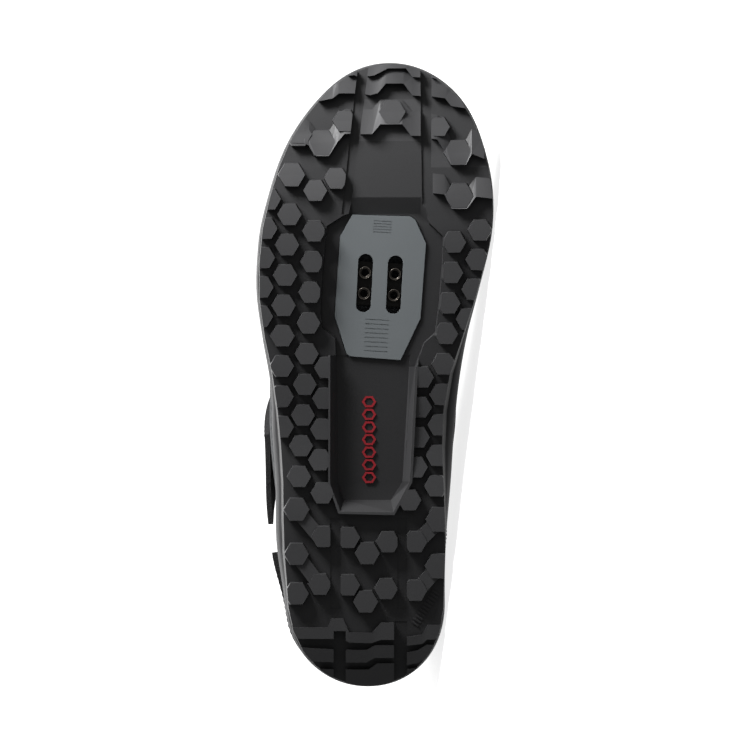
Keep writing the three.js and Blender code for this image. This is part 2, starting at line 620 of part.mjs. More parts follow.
// A plan outline that runs the right way round, moved out by a distance.
function grownOutline(points, by) {
  const turned = THREE.ShapeUtils.isClockWise(points) ? [...points].reverse() : points;
  return turned.map((point, i) => {
    const before = turned[(i + turned.length - 1) % turned.length];
    const after = turned[(i + 1) % turned.length];
    const arriving = point.clone().sub(before).normalize();
    const leaving = after.clone().sub(point).normalize();
    const mitre = arriving.clone().add(leaving).normalize();
    const reach = by / Math.max(mitre.dot(leaving), mitreLimit);
    return new THREE.Vector2(point.x + mitre.y * reach, point.y - mitre.x * reach);
  });
}

// Section of the last at a place between the ankle (0) and the tip of the toe (1).
function lastRing(place) {
  const rows = lastSections.map((row, i) => ({ ...row, along: i / (lastSections.length - 1) }));
  const of = (column) => smooth(rows, column, place);
  const footX = of('foot') * soleLength;
  const ridgeX = of('ridge') * soleLength;
  const footZ = bedHeight(footX) + of('lift') * lastHeight;
  const ridgeZ = bedHeight(ridgeX) + of('height') * lastHeight;
  const belly = of('belly');
  const ring = [];
  for (let i = 0; i < pointsAround; i += 1) {
    const angle = (2 * Math.PI * (i + 0.5)) / pointsAround;
    const low = Math.cos(angle) > 0;
    const power = 2 / of(low ? 'soleRound' : 'ridgeRound');
    const rise = Math.abs(Math.cos(angle)) ** power;
    const spread = Math.abs(Math.sin(angle)) ** power;
    const up = low ? belly * (1 - rise) : belly + (1 - belly) * rise;
    const edge = Math.sin(angle) > 0 ? of('medial') : -of('lateral');
    const middle = lerp(of('soleSway'), of('ridgeSway'), up) * (1 - spread);
    const y = lastWidth * (middle + edge * spread);
    ring.push(new THREE.Vector3(lerp(footX, ridgeX, up), y, lerp(footZ, ridgeZ, up)));
  }
  return ring;
}

function lastSkin() {
  const rings = [];
  for (let station = 0; station <= lastStations; station += 1) {
    rings.push(lastRing(station / lastStations));
  }
  const skin = formThrough(rings);
  skin.computeVertexNormals();
  return skin;
}

const skin = lastSkin();

// The last with its surface moved out, or in where the distance is negative.
function lastForm(distanceAt) {
  const moved = skin.clone();
  const places = moved.getAttribute('position');
  const normals = moved.getAttribute('normal');
  for (let i = 0; i < places.count; i += 1) {
    const point = new THREE.Vector3().fromBufferAttribute(places, i);
    const normal = new THREE.Vector3().fromBufferAttribute(normals, i);
    point.addScaledVector(normal, distanceAt(point));
    places.setXYZ(i, point.x, point.y, point.z);
  }
  return solidOf(moved);
}

// A sheet over the last, from one distance off its surface to another. It may stand off
// further where liftAt says so.
function layer(inner, outer, liftAt = () => 0) {
  const outside = lastForm((point) => outer + liftAt(point));
  return outside.subtract(lastForm((point) => inner + liftAt(point)));
}

// Thickness of the upper's wall, which swells into a padded collar.
function wallAt(point) {
  const high = smoothstep(point.z, heightOf(paddingBottom), heightOf(paddingTop));
  const rear = 1 - smoothstep(point.x, paddingTo * soleLength, paddingFrom * soleLength);
  return upperWall + collarPadding * high * rear;
}

// One lug from its tip, which has the outline and follows the ground, up into the rubber,
// where it is wider by its draft. tipAt says how far the tip stands above the ground.
function lug(outline, tipAt) {
  const centre = new THREE.Vector2();
  outline.forEach((point) => centre.addScaledVector(point, 1 / outline.length));
  const ring = (growth, heightAt) => outline.map((point) => {
    const reach = point.distanceTo(centre);
    const place = centre.clone().lerp(point, (reach + growth) / reach);
    return new THREE.Vector3(place.x, place.y, heightAt(place.x));
  });
  const tip = ring(0, (x) => groundRise(x) + tipAt(x));
  const root = ring(lugDraft, (x) => groundRise(x) + lugHeight + lugRoot);
  return solidOf(formThrough([tip, root]));
}

function hexagon(x, y, size) {
  return [0, 1, 2, 3, 4, 5].map((corner) => {
    const angle = degToRad(30 + 60 * corner);
    return new THREE.Vector2(x + (size / 2) * Math.cos(angle), y + (size / 2) * Math.sin(angle));
  });
}

function hexLug(row) {
  const x = row.along * soleLength;
  const y = row.across * soleWidth;
  const size = row.size * soleWidth;
  const reach = size / 2;
  const slope = (at) => {
    const forward = clamp(((at - x) / reach + rampStart) / rampRun, 0, 1);
    return row.ramp * rampDepth * lugHeight * forward;
  };
  return lug(hexagon(x, y, size), slope);
}

function lugLine(line) {
  const lugs = [];
  for (let i = 0; i < line.count; i += 1) {
    const share = i / (line.count - 1);
    const along = lerp(line.along, line.endAlong, share);
    const bow = line.bow * 4 * share * (1 - share);
    const across = lerp(line.across, line.endAcross, share) + bow;
    lugs.push(hexLug({ along, across, size: line.size, ramp: 0 }));
  }
  return joined(lugs);
}

function lugBar(row) {
  const from = planPoint(row);
  const to = planPoint({ along: row.endAlong, across: row.endAcross });
  const aside = to.clone().sub(from).normalize().multiplyScalar((row.width * soleWidth) / 2);
  const across = new THREE.Vector2(-aside.y, aside.x);
  const corners = [from.clone().sub(across), to.clone().sub(across), to.clone().add(across),
    from.clone().add(across)];
  return lug(corners, () => barDrop * lugHeight);
}

// A row of stepped rubber at the toe, as strips between its front and rear edges.
function toeRow(row) {
  const run = row.run * soleLength;
  const edge = row.edge.map((point) => new THREE.Vector2(point.rear * soleLength,
    point.across * soleWidth));
  const ring = (heightAt) => {
    const front = edge.map((point) => {
      const x = point.x + run;
      return new THREE.Vector3(x, point.y, groundRise(x) + heightAt(1));
    });
    const rear = edge.map((point) => {
      return new THREE.Vector3(point.x, point.y, groundRise(point.x) + heightAt(0));
    });
    return [...front, ...rear.reverse()];
  };
  const tip = ring((forward) => forward * toeRowDepth * lugHeight);
  const root = ring(() => lugHeight + lugRoot);
  return solidOf(formThrough([tip, root]));
}

// The points of a plan outline raised to a height over the ground, anticlockwise.
function raised(points, lift, riseAt = groundRise) {
  const ring = points.map((point) => {
    return new THREE.Vector3(point.x, point.y, riseAt(point.x) + lift);
  });
  return THREE.ShapeUtils.isClockWise(ring) ? ring.reverse() : ring;
}

function heelBand(rows) {
  const edge = (column) => rows.map((row) => new THREE.Vector2(row[column] * soleLength,
    row.across * soleWidth));
  const outline = [...edge('front'), ...edge('rear').reverse()];
  return solidOf(formThrough([raised(outline, 0), raised(outline, lugHeight + lugRoot)]));
}

function groove(row) {
  const corners = [
    planPoint({ along: row.along, across: row.from }),
    planPoint({ along: row.endAlong, across: row.endFrom }),
    planPoint({ along: row.endAlong, across: row.endTo }),
    planPoint({ along: row.along, across: row.to }),
  ];
  const side = (from, to) => Array.from({ length: grooveSteps + 1 }, (_, i) => {
    return from.clone().lerp(to, i / grooveSteps);
  });
  const outline = [...side(corners[0], corners[1]), ...side(corners[2], corners[3])];
  const rings = [raised(outline, -lugHeight), raised(outline, lugHeight * (1 + row.depth))];
  return solidOf(formThrough(rings));
}

// A pit with sloping walls between its mouth at the lug tips and its floor. Each outline
// is a strip: the first half of its rows faces the second half.
function pit(mouth, bottom, floor) {
  const ring = (rows, lift) => raised(rows.map(planPoint), lift, springRise);
  return solidOf(formThrough([ring(mouth, -lugHeight), ring(mouth, 0), ring(bottom, floor)]));
}

function outsoleBlank() {
  const bottom = soleRing(0, 0, (x) => groundRise(x) + lugHeight);
  const top = soleRing(0.3, 0, rubberTop);
  return solidOf(formThrough([bottom, top]));
}

// Everything inside the edge of the tread, for trimming the lugs.
function treadColumn() {
  const bottom = soleRing(0, 0, (x) => groundRise(x) - lugHeight);
  const top = soleRing(0, 0, (x) => groundRise(x) + lugHeight + 2 * lugRoot);
  return solidOf(formThrough([bottom, top]));
}

// The raised rail around the pocket.
function railBlock() {
  const ring = (lift) => raised(pocketRail.map(planPoint), lift, springRise);
  return solidOf(formThrough([ring(0), ring(lugHeight + lugRoot)]));
}

// Places on the cleat plate, along and across its slots.
const plateCentre = planPoint({ along: plateAlong, across: plateAcross });
function onPlate(along, across) {
  return new THREE.Vector2(along, across).rotateAround(new THREE.Vector2(), degToRad(plateTurn))
    .add(plateCentre);
}

function platePoints(growth) {
  return grownOutline(plateOutline.map(planPoint), growth);
}

// A slot with round ends, between two heights.
function slot(across, length, width, fromZ, toZ) {
  const radius = width / 2;
  const reach = length / 2 - radius;
  const outline = new THREE.Shape();
  outline.absarc(reach, 0, radius, -Math.PI / 2, Math.PI / 2, false);
  outline.absarc(-reach, 0, radius, Math.PI / 2, (3 * Math.PI) / 2, false);
  const points = outline.getPoints(slotPieces).map((point) => onPlate(point.x, point.y + across));
  points.pop();
  return planBlock(points, fromZ, toZ);
}

const plateTop = plateFace + plateThickness;
const flangeBottom = plateTop + seamGap;
const flangeTop = flangeBottom + flangeThickness;
const nutBottom = flangeTop + seamGap;
const nutTop = nutBottom + nutPlateThickness;
const nutLength = nutPitch + 2 * nutRadius + nutMargin;
const nutWidth = slotPitch + 2 * nutRadius + nutMargin;
const nutTravel = (slotLength - slotWidth - nutPitch) / 2;

// The space that the flange of the cleat plate takes in the sole.
function flangeSeat() {
  return planBlock(platePoints(flangeWidth + seamGap), plateTop, flangeTop + seamGap);
}

// The window in the midsole that the nut plate slides in.
function nutWindow() {
  const reach = nutLength / 2 + nutTravel + windowMargin;
  const half = nutWidth / 2 + windowMargin;
  const corners = [onPlate(-reach, -half), onPlate(reach, -half), onPlate(reach, half),
    onPlate(-reach, half)];
  return planBlock(corners, plateTop, nutTop + 3 * rubberThickness);
}

function outsole() {
  const tread = joined([
    ...lugLines.map(lugLine),
    ...singleLugs.map(hexLug),
    ...lugBars.map(lugBar),
    ...toeRows.map(toeRow),
    ...heelBands.map(heelBand),
    railBlock(),
  ]);
  const cuts = joined([
    ...grooves.map(groove),
    pit(recessMouth, recessBottom, recessFloor),
    pit(pocketMouth, pocketBottom, pocketFloor),
    planBlock(platePoints(seamGap), 0, rubberTop(soleLength)),
    flangeSeat(),
  ]);
  return outsoleBlank().add(tread.intersect(treadColumn())).subtract(cuts);
}

function midsoleBlank(clearance) {
  const rings = midsoleSide.map((row) => {
    const heightAt = (x) => {
      const low = rubberTop(x) + seamGap;
      return lerp(low, rimTop(x), row.up) + (row.up === 1 ? clearance : 0);
    };
    return soleRing(row.flare, row.inset * rimHeight - clearance, heightAt);
  });
  return solidOf(formThrough(rings));
}

function midsole() {
  return midsoleBlank(0)
    .subtract(lastForm(() => seamGap))
    .subtract(flangeSeat())
    .subtract(nutWindow());
}

function cleatPlate() {
  const body = planBlock(platePoints(0), plateFace, flangeBottom + weld);
  const flange = planBlock(platePoints(flangeWidth), flangeBottom, flangeTop);
  const slots = [-1, 1].map((side) => {
    return slot((side * slotPitch) / 2, slotLength, slotWidth, 0, flangeTop + cutThrough);
  });
  return body.add(flange).subtract(joined(slots));
}

function cleatNut() {
  const long = nutLength / 2;
  const wide = nutWidth / 2;
  const corners = [onPlate(-long, -wide), onPlate(long, -wide), onPlate(long, wide),
    onPlate(-long, wide)];
  const plate = planBlock(corners, nutBottom, nutTop);
  const places = [-1, 1].flatMap((x) => [-1, 1].map((y) => onPlate((x * nutPitch) / 2,
    (y * slotPitch) / 2)));
  const post = (radius, fromZ, toZ) => places.map((place) => {
    const tube = new THREE.CylinderGeometry(radius, radius, toZ - fromZ, barrelSides);
    tube.rotateX(Math.PI / 2);
    tube.translate(place.x, place.y, (fromZ + toZ) / 2);
    return solidOf(tube);
  });
  const barrels = joined(post(nutRadius, plateFace + nutDepth, nutBottom + weld));
  const bores = joined(post(nutBore, plateFace, nutTop + cutThrough));
  return plate.add(barrels).subtract(bores);
}

// Everything above the collar line.
function collarCut() {
  const line = collarLine.map((row) => new THREE.Vector2(...sidePoint(row)));
  const points = new THREE.SplineCurve(line).getPoints(curvePieces);
  const curve = points.map((point) => [point.x, point.y]);
  const top = heightOf(1.5);
  const [firstX] = curve[0];
  const [lastX] = curve[curve.length - 1];
  const outline = [...curve, [lastX + 0.02 * soleLength, top], [firstX, top]];
  return sideBlock(outline, -soleWidth, soleWidth);
}

function throatCut() {
  const side = (column) => throatLine.map((row) => {
    return new THREE.Vector2(row.along * soleLength, row[column] * lastWidth);
  });
  const edge = (points) => new THREE.SplineCurve(points).getPoints(curvePieces);
  const outline = [...edge(side('lateral')), ...edge(side('medial')).reverse()];
  return planBlock(outline, heightOf(throatFloor), 2 * lastHeight);
}

// The space under the foot where the upper is open: the last drawn in by the width that the
// upper turns under, between the heel and the toes, and lowered through the wall.
function underside(clearance) {
  const narrow = lastForm(() => -(upperWall + lastingMargin + clearance));
  const first = undersideFrom * soleLength + clearance;
  const last = undersideTo * soleLength - clearance;
  const top = bedHeight(last) + lastHeight;
  const outline = [[first, 0], [last, 0], [last, top], [first, top]];
  return narrow.intersect(sideBlock(outline, -soleWidth, soleWidth))
    .translate(0, 0, -(upperWall + lastingMargin + cutThrough));
}

function upper() {
  return lastForm(() => 0)
    .subtract(lastForm((point) => -wallAt(point)))
    .subtract(underside(0))
    .subtract(collarCut())
    .subtract(throatCut());
}

function insole() {
  const body = lastForm((point) => -(wallAt(point) + seamGap));
  const level = (share) => {
    const x = share * soleLength;
    return [x, bedHeight(x) + upperWall + seamGap + insoleThickness];
  };
  const shares = Array.from({ length: insoleSteps + 1 }, (_, i) => i / insoleSteps);
  const below = [...shares.map(level), [soleLength, 0], [0, 0]];
  return body.add(underside(seamGap))
    .intersect(lastForm(() => 0))
    .intersect(sideBlock(below, -soleWidth, soleWidth));
}

function tongue() {
  const outside = lastForm((point) => -(wallAt(point) + seamGap));
  const inside = lastForm((point) => -(wallAt(point) + seamGap + tongueThickness));
  const corners = tongueOutline.map((row) => {
    return new THREE.Vector2(row.along * soleLength, row.across * lastWidth);
  });
  const reach = planBlock(corners, heightOf(tongueLow), heightOf(tongueHigh));
  return outside.subtract(inside).intersect(reach);
}

// A strip across the instep in the side view, down to a given height.
function strapStrip(lowEnd) {
  const slope = degToRad(instepStrapSlope);
  const down = new THREE.Vector2(-Math.cos(slope), -Math.sin(slope));
  const aside = new THREE.Vector2(-down.y, down.x).multiplyScalar(instepStrapWidth / 2);
  const ridge = new THREE.Vector2(...sidePoint(instepStrapCentre));
  const start = ridge.clone().addScaledVector(down, -lastHeight / 2);
  const end = ridge.clone().addScaledVector(down, (ridge.y - lowEnd) / -down.y);
  const corners = [
    start.clone().sub(aside),
    start.clone().add(aside),
    new THREE.Vector2(end.x + instepStrapWidth / 2 / Math.sin(slope), lowEnd),
    new THREE.Vector2(end.x - instepStrapWidth / 2 / Math.sin(slope), lowEnd),
  ];
  return corners.map((point) => [point.x, point.y]);
}

function instepStrap() {
  const lateralEnd = heightOf(lateralStrapEnd);
  const reach = sideBlock(strapStrip(lateralEnd), -soleWidth, cutThrough)
    .add(sideBlock(strapStrip(heightOf(medialStrapEnd)), 0, soleWidth));
  const lift = (point) => {
    const high = lateralEnd + instepLiftUp * lastHeight;
    const low = 1 - smoothstep(point.z, lateralEnd - strapThickness, high);
    const rear = 1 - smoothstep(point.x, instepLiftTo * soleLength, instepLiftFrom * soleLength);
    return point.y < 0 ? instepStrapLift * low * rear : 0;
  };
  return layer(seamGap, seamGap + strapThickness, lift).intersect(reach);
}

function heelStrap() {
  const low = heightOf(heelStrapUp);
  const high = low + heelStrapWidth;
  const first = -soleLength;
  const last = heelStrapTo * soleLength;
  const drop = heelStrapTaper * heelStrapWidth;
  const outline = [[first, low], [last, low - drop], [last, high - drop], [first, high]];
  const under = seamGap + overlayThickness + seamGap;
  const lift = (point) => {
    const forward = smoothstep(point.x, heelStrapFrom * soleLength, last);
    return point.y < 0 ? heelStrapLift * forward : 0;
  };
  const band = layer(under, under + strapThickness, lift);
  return band.intersect(sideBlock(outline, -soleWidth, heelStrapRear * lastWidth));
}

function overlay(outline) {
  const sheet = layer(seamGap, seamGap + overlayThickness)
    .intersect(sideBlock(outline.map(sidePoint), -soleWidth, soleWidth))
    .subtract(midsoleBlank(seamGap));
  return mainBody(sheet);
}

// One named mesh with its own material.
function piece(name, solid, finish) {
  const { density, ...look } = materials[finish];
  const mesh = new THREE.Mesh(geometryOf(solid), new THREE.MeshStandardMaterial(look));
  mesh.name = name;
  mesh.userData.grams = (solid.volume() / 1000) * density;
  return mesh;
}

const pieces = [
  piece('outsole', outsole(), 'rubber'),
  piece('midsole', midsole(), 'foam'),
  piece('cleat_plate', cleatPlate(), 'glassNylon'),
  piece('cleat_nut', cleatNut(), 'blackSteel'),
  piece('upper', upper(), 'mesh'),
  piece('toe_cap', overlay(toeCapOutline), 'coatedFabric'),
  piece('heel_counter', overlay(heelCounterOutline), 'coatedFabric'),
  piece('insole', insole(), 'lining'),
  piece('tongue', tongue(), 'mesh'),
  piece('instep_strap', instepStrap(), 'webbing'),
  piece('heel_strap', heelStrap(), 'webbing'),
];

// Centre of mass, from the middle of each triangle's cone to the origin.
function centreOfMass(meshes) {
  const centre = new THREE.Vector3();
  let weight = 0;
  for (const mesh of meshes) {
    const places = mesh.geometry.getAttribute('position');
    const order = mesh.geometry.getIndex().array;
    const moment = new THREE.Vector3();
    let volume = 0;
    for (let i = 0; i < order.length; i += 3) {
      const corner = (k) => new THREE.Vector3().fromBufferAttribute(places, order[i + k]);
      const [a, b, c] = [corner(0), corner(1), corner(2)];
      const cone = a.dot(b.clone().cross(c)) / 6;
      volume += cone;
      moment.addScaledVector(a.add(b).add(c), cone / 4);
    }
    centre.addScaledVector(moment, mesh.userData.grams / volume);
    weight += mesh.userData.grams;
  }
  return centre.divideScalar(weight);
}

// The face of the hull that the shoe lies on: on its medial side, under its centre of mass.
function restingNormal(meshes) {
  const centre = centreOfMass(meshes);
  const points = meshes.flatMap((mesh) => {
    const places = mesh.geometry.getAttribute('position');
    return Array.from({ length: places.count }, (_, i) => {
      return new THREE.Vector3().fromBufferAttribute(places, i);
    });
  });
  const hull = new ConvexHull().setFromPoints(points);
  const medial = new THREE.Vector3(0, 1, 0);
  const holds = (face) => [0, 1, 2].every((side) => {
    const edge = face.getEdge(side);
    const tail = edge.tail().point;
    const along = edge.head().point.clone().sub(tail);
    return along.cross(centre.clone().sub(tail)).dot(face.normal) >= 0;
  });
  const faces = hull.faces.filter((face) => face.normal.dot(medial) > 0.8 && holds(face));
  return faces.length > 0 ? faces[0].normal : medial;
}

// Turns the shoe so that the resting face points down and the toe points along x.
function lyingTurn(meshes) {
  const up = restingNormal(meshes).clone().negate();
  const toe = new THREE.Vector3(1, 0, 0);
  toe.addScaledVector(up, -toe.dot(up)).normalize();
  const aside = up.clone().cross(toe);
  return new THREE.Matrix4().makeBasis(toe, aside, up).transpose();
}

const shoe = new THREE.Group();
shoe.add(...pieces);
shoe.quaternion.setFromRotationMatrix(lyingTurn(pieces));
shoe.updateMatrixWorld(true);
const bounds = new THREE.Box3().setFromObject(shoe, true);
const middle = bounds.getCenter(new THREE.Vector3());
shoe.position.set(-middle.x, -middle.y, -bounds.min.z);

const part = new THREE.Group();
part.add(shoe);

export default part;
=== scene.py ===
"""Looks of a cycling shoe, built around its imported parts.

The shoe is drawn standing, in millimetres: x from heel to toe, y towards the medial side and z up
from the tips of the lugs. A placement taken from the record's mounts turns that to the frame.
"""

import json
import logging
import math
from collections.abc import Callable
from dataclasses import dataclass
from enum import Enum

import bmesh
import bpy
import numpy as np
from mathutils import Matrix, Vector
from mathutils.bvhtree import BVHTree


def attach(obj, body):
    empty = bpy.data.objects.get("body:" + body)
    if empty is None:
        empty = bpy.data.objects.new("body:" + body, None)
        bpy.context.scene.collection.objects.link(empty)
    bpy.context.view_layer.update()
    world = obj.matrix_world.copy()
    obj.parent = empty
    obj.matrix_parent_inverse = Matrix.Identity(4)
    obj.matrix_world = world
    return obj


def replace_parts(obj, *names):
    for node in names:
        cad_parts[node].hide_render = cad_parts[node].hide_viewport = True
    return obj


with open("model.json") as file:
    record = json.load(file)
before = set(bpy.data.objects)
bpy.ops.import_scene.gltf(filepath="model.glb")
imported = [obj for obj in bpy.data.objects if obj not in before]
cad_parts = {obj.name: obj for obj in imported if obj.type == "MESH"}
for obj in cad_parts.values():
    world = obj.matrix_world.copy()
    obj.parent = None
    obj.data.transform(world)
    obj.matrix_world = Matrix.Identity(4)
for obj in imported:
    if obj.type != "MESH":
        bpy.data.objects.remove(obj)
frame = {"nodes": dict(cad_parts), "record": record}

log = logging.getLogger("shoe")
MM = 0.001

# points along a line, or over a grid, and their normals
Line = tuple[np.ndarray, np.ndarray]


class Side(Enum):
    """The two sides of the foot."""

    LATERAL = -1
    MEDIAL = 1


@dataclass(frozen=True)
class SoleSizes:
    """Main sizes of the sole, in millimetres, and shares of its length."""

    length: float = 293
    width: float = 111
    heel_arc: float = 40
    toe_arc: float = 85
    lug_height: float = 4.5
    rubber: float = 5
    toe_spring: float = 22
    heel_rise: float = 7
    arch_rise: float = 2
    heel_foam: float = 8.2
    ball_foam: float = 3.8
    rim_height: float = 13
    seam: float = 0.3
    spring_start: float = 0.7
    spring_power: float = 1.75
    waist_start: float = 0.27
    waist_end: float = 0.53
    bevel_run: float = 0.096
    bevel_power: float = 1.8
    foam_thins_from: float = 0.24
    foam_thins_to: float = 0.62
    end_round: float = 2.06
    plate_along: float = 0.644
    plate_across: float = 0.0187
    plate_height: float = 6.5
    plate_turn: float = 3.2
    slot_pitch: float = 14
    barrel_pitch: float = 9.8
    heel_along: float = 0.2144
    heel_across: float = -0.0324


@dataclass(frozen=True)
class UpperSizes:
    """Main sizes of the upper and its straps, in millimetres."""

    height: float = 132
    width: float = 100
    wall: float = 2.6
    padding: float = 3
    tongue: float = 3.6
    overlay: float = 1.3
    strap: float = 2.4
    instep_strap_width: float = 31
    instep_strap_slope: float = 47
    instep_strap_lift: float = 4
    heel_strap_width: float = 21
    heel_strap_lift: float = 2.8
    seam: float = 0.3
    swell_low: float = 0.26
    swell_high: float = 0.48
    swell_front: float = 0.42
    swell_rear: float = 0.3
    instep_strap_along: float = 0.503
    instep_strap_up: float = 0.63
    instep_strap_low: float = 0.22
    instep_strap_medial: float = 0.36
    heel_strap_low: float = 0.25
    heel_strap_end: float = 0.213
    heel_strap_drop: float = 2.1
    tongue_start: float = 0.215
    tongue_end: float = 0.655
    tongue_length: float = 172
    tongue_round: float = 12


@dataclass(frozen=True)
class InlaySizes:
    """Row of hexagonal rings in the pocket, in millimetres on the standing shoe."""

    first: float = 98.2
    last: float = 133.6
    count: int = 7
    across: float = -2.8
    floor: float = 8.1
    outer: float = 3.0
    inner: float = 1.95
    stretch: float = 1.12
    sunk: float = 0.3
    proud: float = 0.4


@dataclass(frozen=True)
class RibSizes:
    """Diagonal row of ribs beside the heel, in millimetres on the standing shoe."""

    start: tuple[float, float] = (29.9, 18.7)
    run: tuple[float, float] = (14.5, 9.8)
    count: int = 11
    size: tuple[float, float, float] = (0.75, 4.2, 1.3)
    turn: float = 34


# along, half, centre, tuck_lateral, tuck_medial: shares of the sole's length and width
SOLE_OUTLINE = np.array([
    (0.0, 0.337, -0.03, 0.009, 0.006), (0.137, 0.339, -0.044, 0.017, 0.006),
    (0.233, 0.358, -0.0585, 0.033, 0.003), (0.33, 0.37, -0.05, 0.033, 0.032),
    (0.404, 0.383, -0.05, 0.032, 0.05), (0.483, 0.397, -0.044, 0.017, 0.049),
    (0.56, 0.4315, -0.044, 0.011, 0.019), (0.634, 0.469, -0.0315, 0.0126, 0.006),
    (0.712, 0.49, -0.002, 0.0126, 0.003), (0.788, 0.49, 0.025, 0.011, 0.004),
    (0.865, 0.49, 0.042, 0.01, 0.006), (0.942, 0.49, 0.063, 0.009, 0.009),
    (1.0, 0.49, 0.063, 0.009, 0.009),
])

# along, up: the midsole's rim above the bed, in shares of rim_height
RIM_LINE = np.array([
    (0.0, 1.08), (0.16, 1.0), (0.4, 0.7), (0.52, 0.72), (0.68, 0.9), (0.85, 0.98),
    (0.95, 1.15), (1.0, 1.25),
])

# up, flare, inset: side of the midsole from its lower edge to its rim
MIDSOLE_SIDE = (
    (0.0, 0.3, 0.0), (0.05, 0.5, 0.0), (0.09, 0.62, 0.0), (0.2, 0.85, 0.0), (0.34, 1.0, 0.0),
    (0.52, 1.0, 0.1), (0.545, 1.0, 0.35), (0.56, 1.0, 0.8), (0.64, 1.0, 0.8), (0.665, 1.0, 0.4),
    (0.69, 1.0, 0.15), (0.8, 1.0, 0.2), (0.93, 1.0, 0.45), (0.98, 1.0, 0.75), (1.0, 1.0, 1.3),
)

LAST_COLUMNS = ("foot", "lift", "ridge", "height", "lateral", "medial", "sole_sway", "ridge_sway",
                "belly", "sole_round", "ridge_round")
LAST_SECTIONS = np.array([
    (0.05, 0.85, 0.342, 1.08, 0.36, 0.28, -0.045, -0.05, 0.5, 2.2, 2.4),
    (0.034, 0.47, 0.353, 0.98, 0.355, 0.28, -0.045, -0.05, 0.46, 2.2, 2.4),
    (0.022, 0.318, 0.356, 0.964, 0.36, 0.275, -0.045, -0.05, 0.41, 2.3, 2.4),
    (0.019, 0.182, 0.361, 0.942, 0.368, 0.27, -0.042, -0.05, 0.37, 2.3, 2.35),
    (0.029, 0.068, 0.366, 0.919, 0.378, 0.28, -0.04, -0.05, 0.33, 2.5, 2.3),
    (0.085, 0.002, 0.377, 0.882, 0.395, 0.305, -0.045, -0.045, 0.31, 2.9, 2.25),
    (0.178, 0.0, 0.39, 0.837, 0.425, 0.318, -0.05, -0.04, 0.3, 3.1, 2.2),
    (0.281, 0.0, 0.414, 0.779, 0.468, 0.335, -0.055, -0.03, 0.3, 3.2, 2.15),
    (0.384, 0.0, 0.449, 0.715, 0.495, 0.365, -0.055, -0.015, 0.32, 3.2, 2.1),
    (0.479, 0.0, 0.503, 0.633, 0.495, 0.39, -0.05, 0.0, 0.33, 3.2, 2.1),
    (0.575, 0.0, 0.579, 0.547, 0.505, 0.43, -0.04, 0.03, 0.35, 3.2, 2.1),
    (0.668, 0.0, 0.661, 0.468, 0.51, 0.48, -0.03, 0.05, 0.38, 3.1, 2.2),
    (0.753, 0.0, 0.75, 0.417, 0.485, 0.515, 0.014, 0.06, 0.4, 3.0, 2.25),
    (0.839, 0.0, 0.839, 0.362, 0.395, 0.475, 0.04, 0.065, 0.42, 2.9, 2.3),
    (0.904, 0.0, 0.904, 0.311, 0.295, 0.405, 0.055, 0.07, 0.44, 2.7, 2.3),
    (0.945, 0.006, 0.949, 0.238, 0.2, 0.325, 0.065, 0.07, 0.46, 2.5, 2.3),
    (0.969, 0.012, 0.9726, 0.164, 0.12, 0.25, 0.068, 0.07, 0.48, 2.3, 2.2),
    (0.979, 0.03, 0.983, 0.085, 0.04, 0.175, 0.07, 0.07, 0.5, 2.1, 2.1),
])

# first, pitch, count, length: the plate's engraved lines, along its slots from its middle
TICKS = ((24.1, 1.3, 5, 8.4), (-31.6, 2.1, 8, 11.0))

# radius, height, wire: mouth and thread rings of a barrel, in millimetres
BARREL_RINGS = ((2.62, 7.5, 0.2), (2.02, 8.2, 0.16), (2.02, 8.8, 0.16))

# depth above the lug tips in shares of their height, and how light the rubber is painted there:
# painted shade that darkens the floor between the lugs
RUBBER_DEPTHS, PAINTED_SHADE_TONES = (0, 0.3, 0.9, 1.3), (0.37, 0.32, 0.15, 0.12)

# share of the tongue from its free end, lateral and medial reach from the ridge in millimetres
TONGUE_WIDTHS = np.array([(0, 38, 37), (0.4, 32, 29), (1, 22, 21)])
TONGUE_CHANNELS = (-0.45, 0.0, 0.45)

# along, up: the collar in the side view, in shares of the sole's length and the last's height
COLLAR_LINE = np.array([
    (-0.05, 0.62), (0.04, 0.61), (0.17, 0.475), (0.285, 0.56), (0.35, 0.72), (0.4, 0.82),
])

# along, lateral, medial: the throat in plan, in shares of the sole's length and the last's width
THROAT_LINE = np.array([
    (0.28, -0.25, 0.15), (0.41, -0.22, 0.15), (0.515, -0.165, 0.165), (0.575, -0.125, 0.165),
    (0.61, -0.085, 0.15), (0.637, -0.02, 0.105),
])

# along, up: outlines of the overlays in the side view
TOE_CAP = [(0.87, -0.2), (1.1, -0.2), (1.1, 1.1), (0.8, 1.1), (0.8, 0.4)]
HEEL_COUNTER = [(-0.1, -0.2), (0.3, -0.2), (0.25, 0.2), (0.12, 0.42), (-0.1, 0.5)]

# medial, ridge, lateral: places of each crease in shares of the sole's length; then where it
# starts and ends round the section (0.5 is the ridge), its depth and its width in millimetres
CREASES = (
    (0.655, 0.672, 0.648, 0.27, 0.7, 0.9, 3.0), (0.672, 0.695, 0.668, 0.3, 0.72, -0.7, 3.4),
    (0.695, 0.716, 0.7, 0.33, 0.68, 0.7, 3.0), (0.235, 0.24, 0.225, 0.2, 0.42, 0.8, 4.0),
    (0.275, 0.3, 0.262, 0.56, 0.82, 0.8, 4.0), (0.315, 0.34, 0.305, 0.58, 0.8, -0.6, 4.5),
)


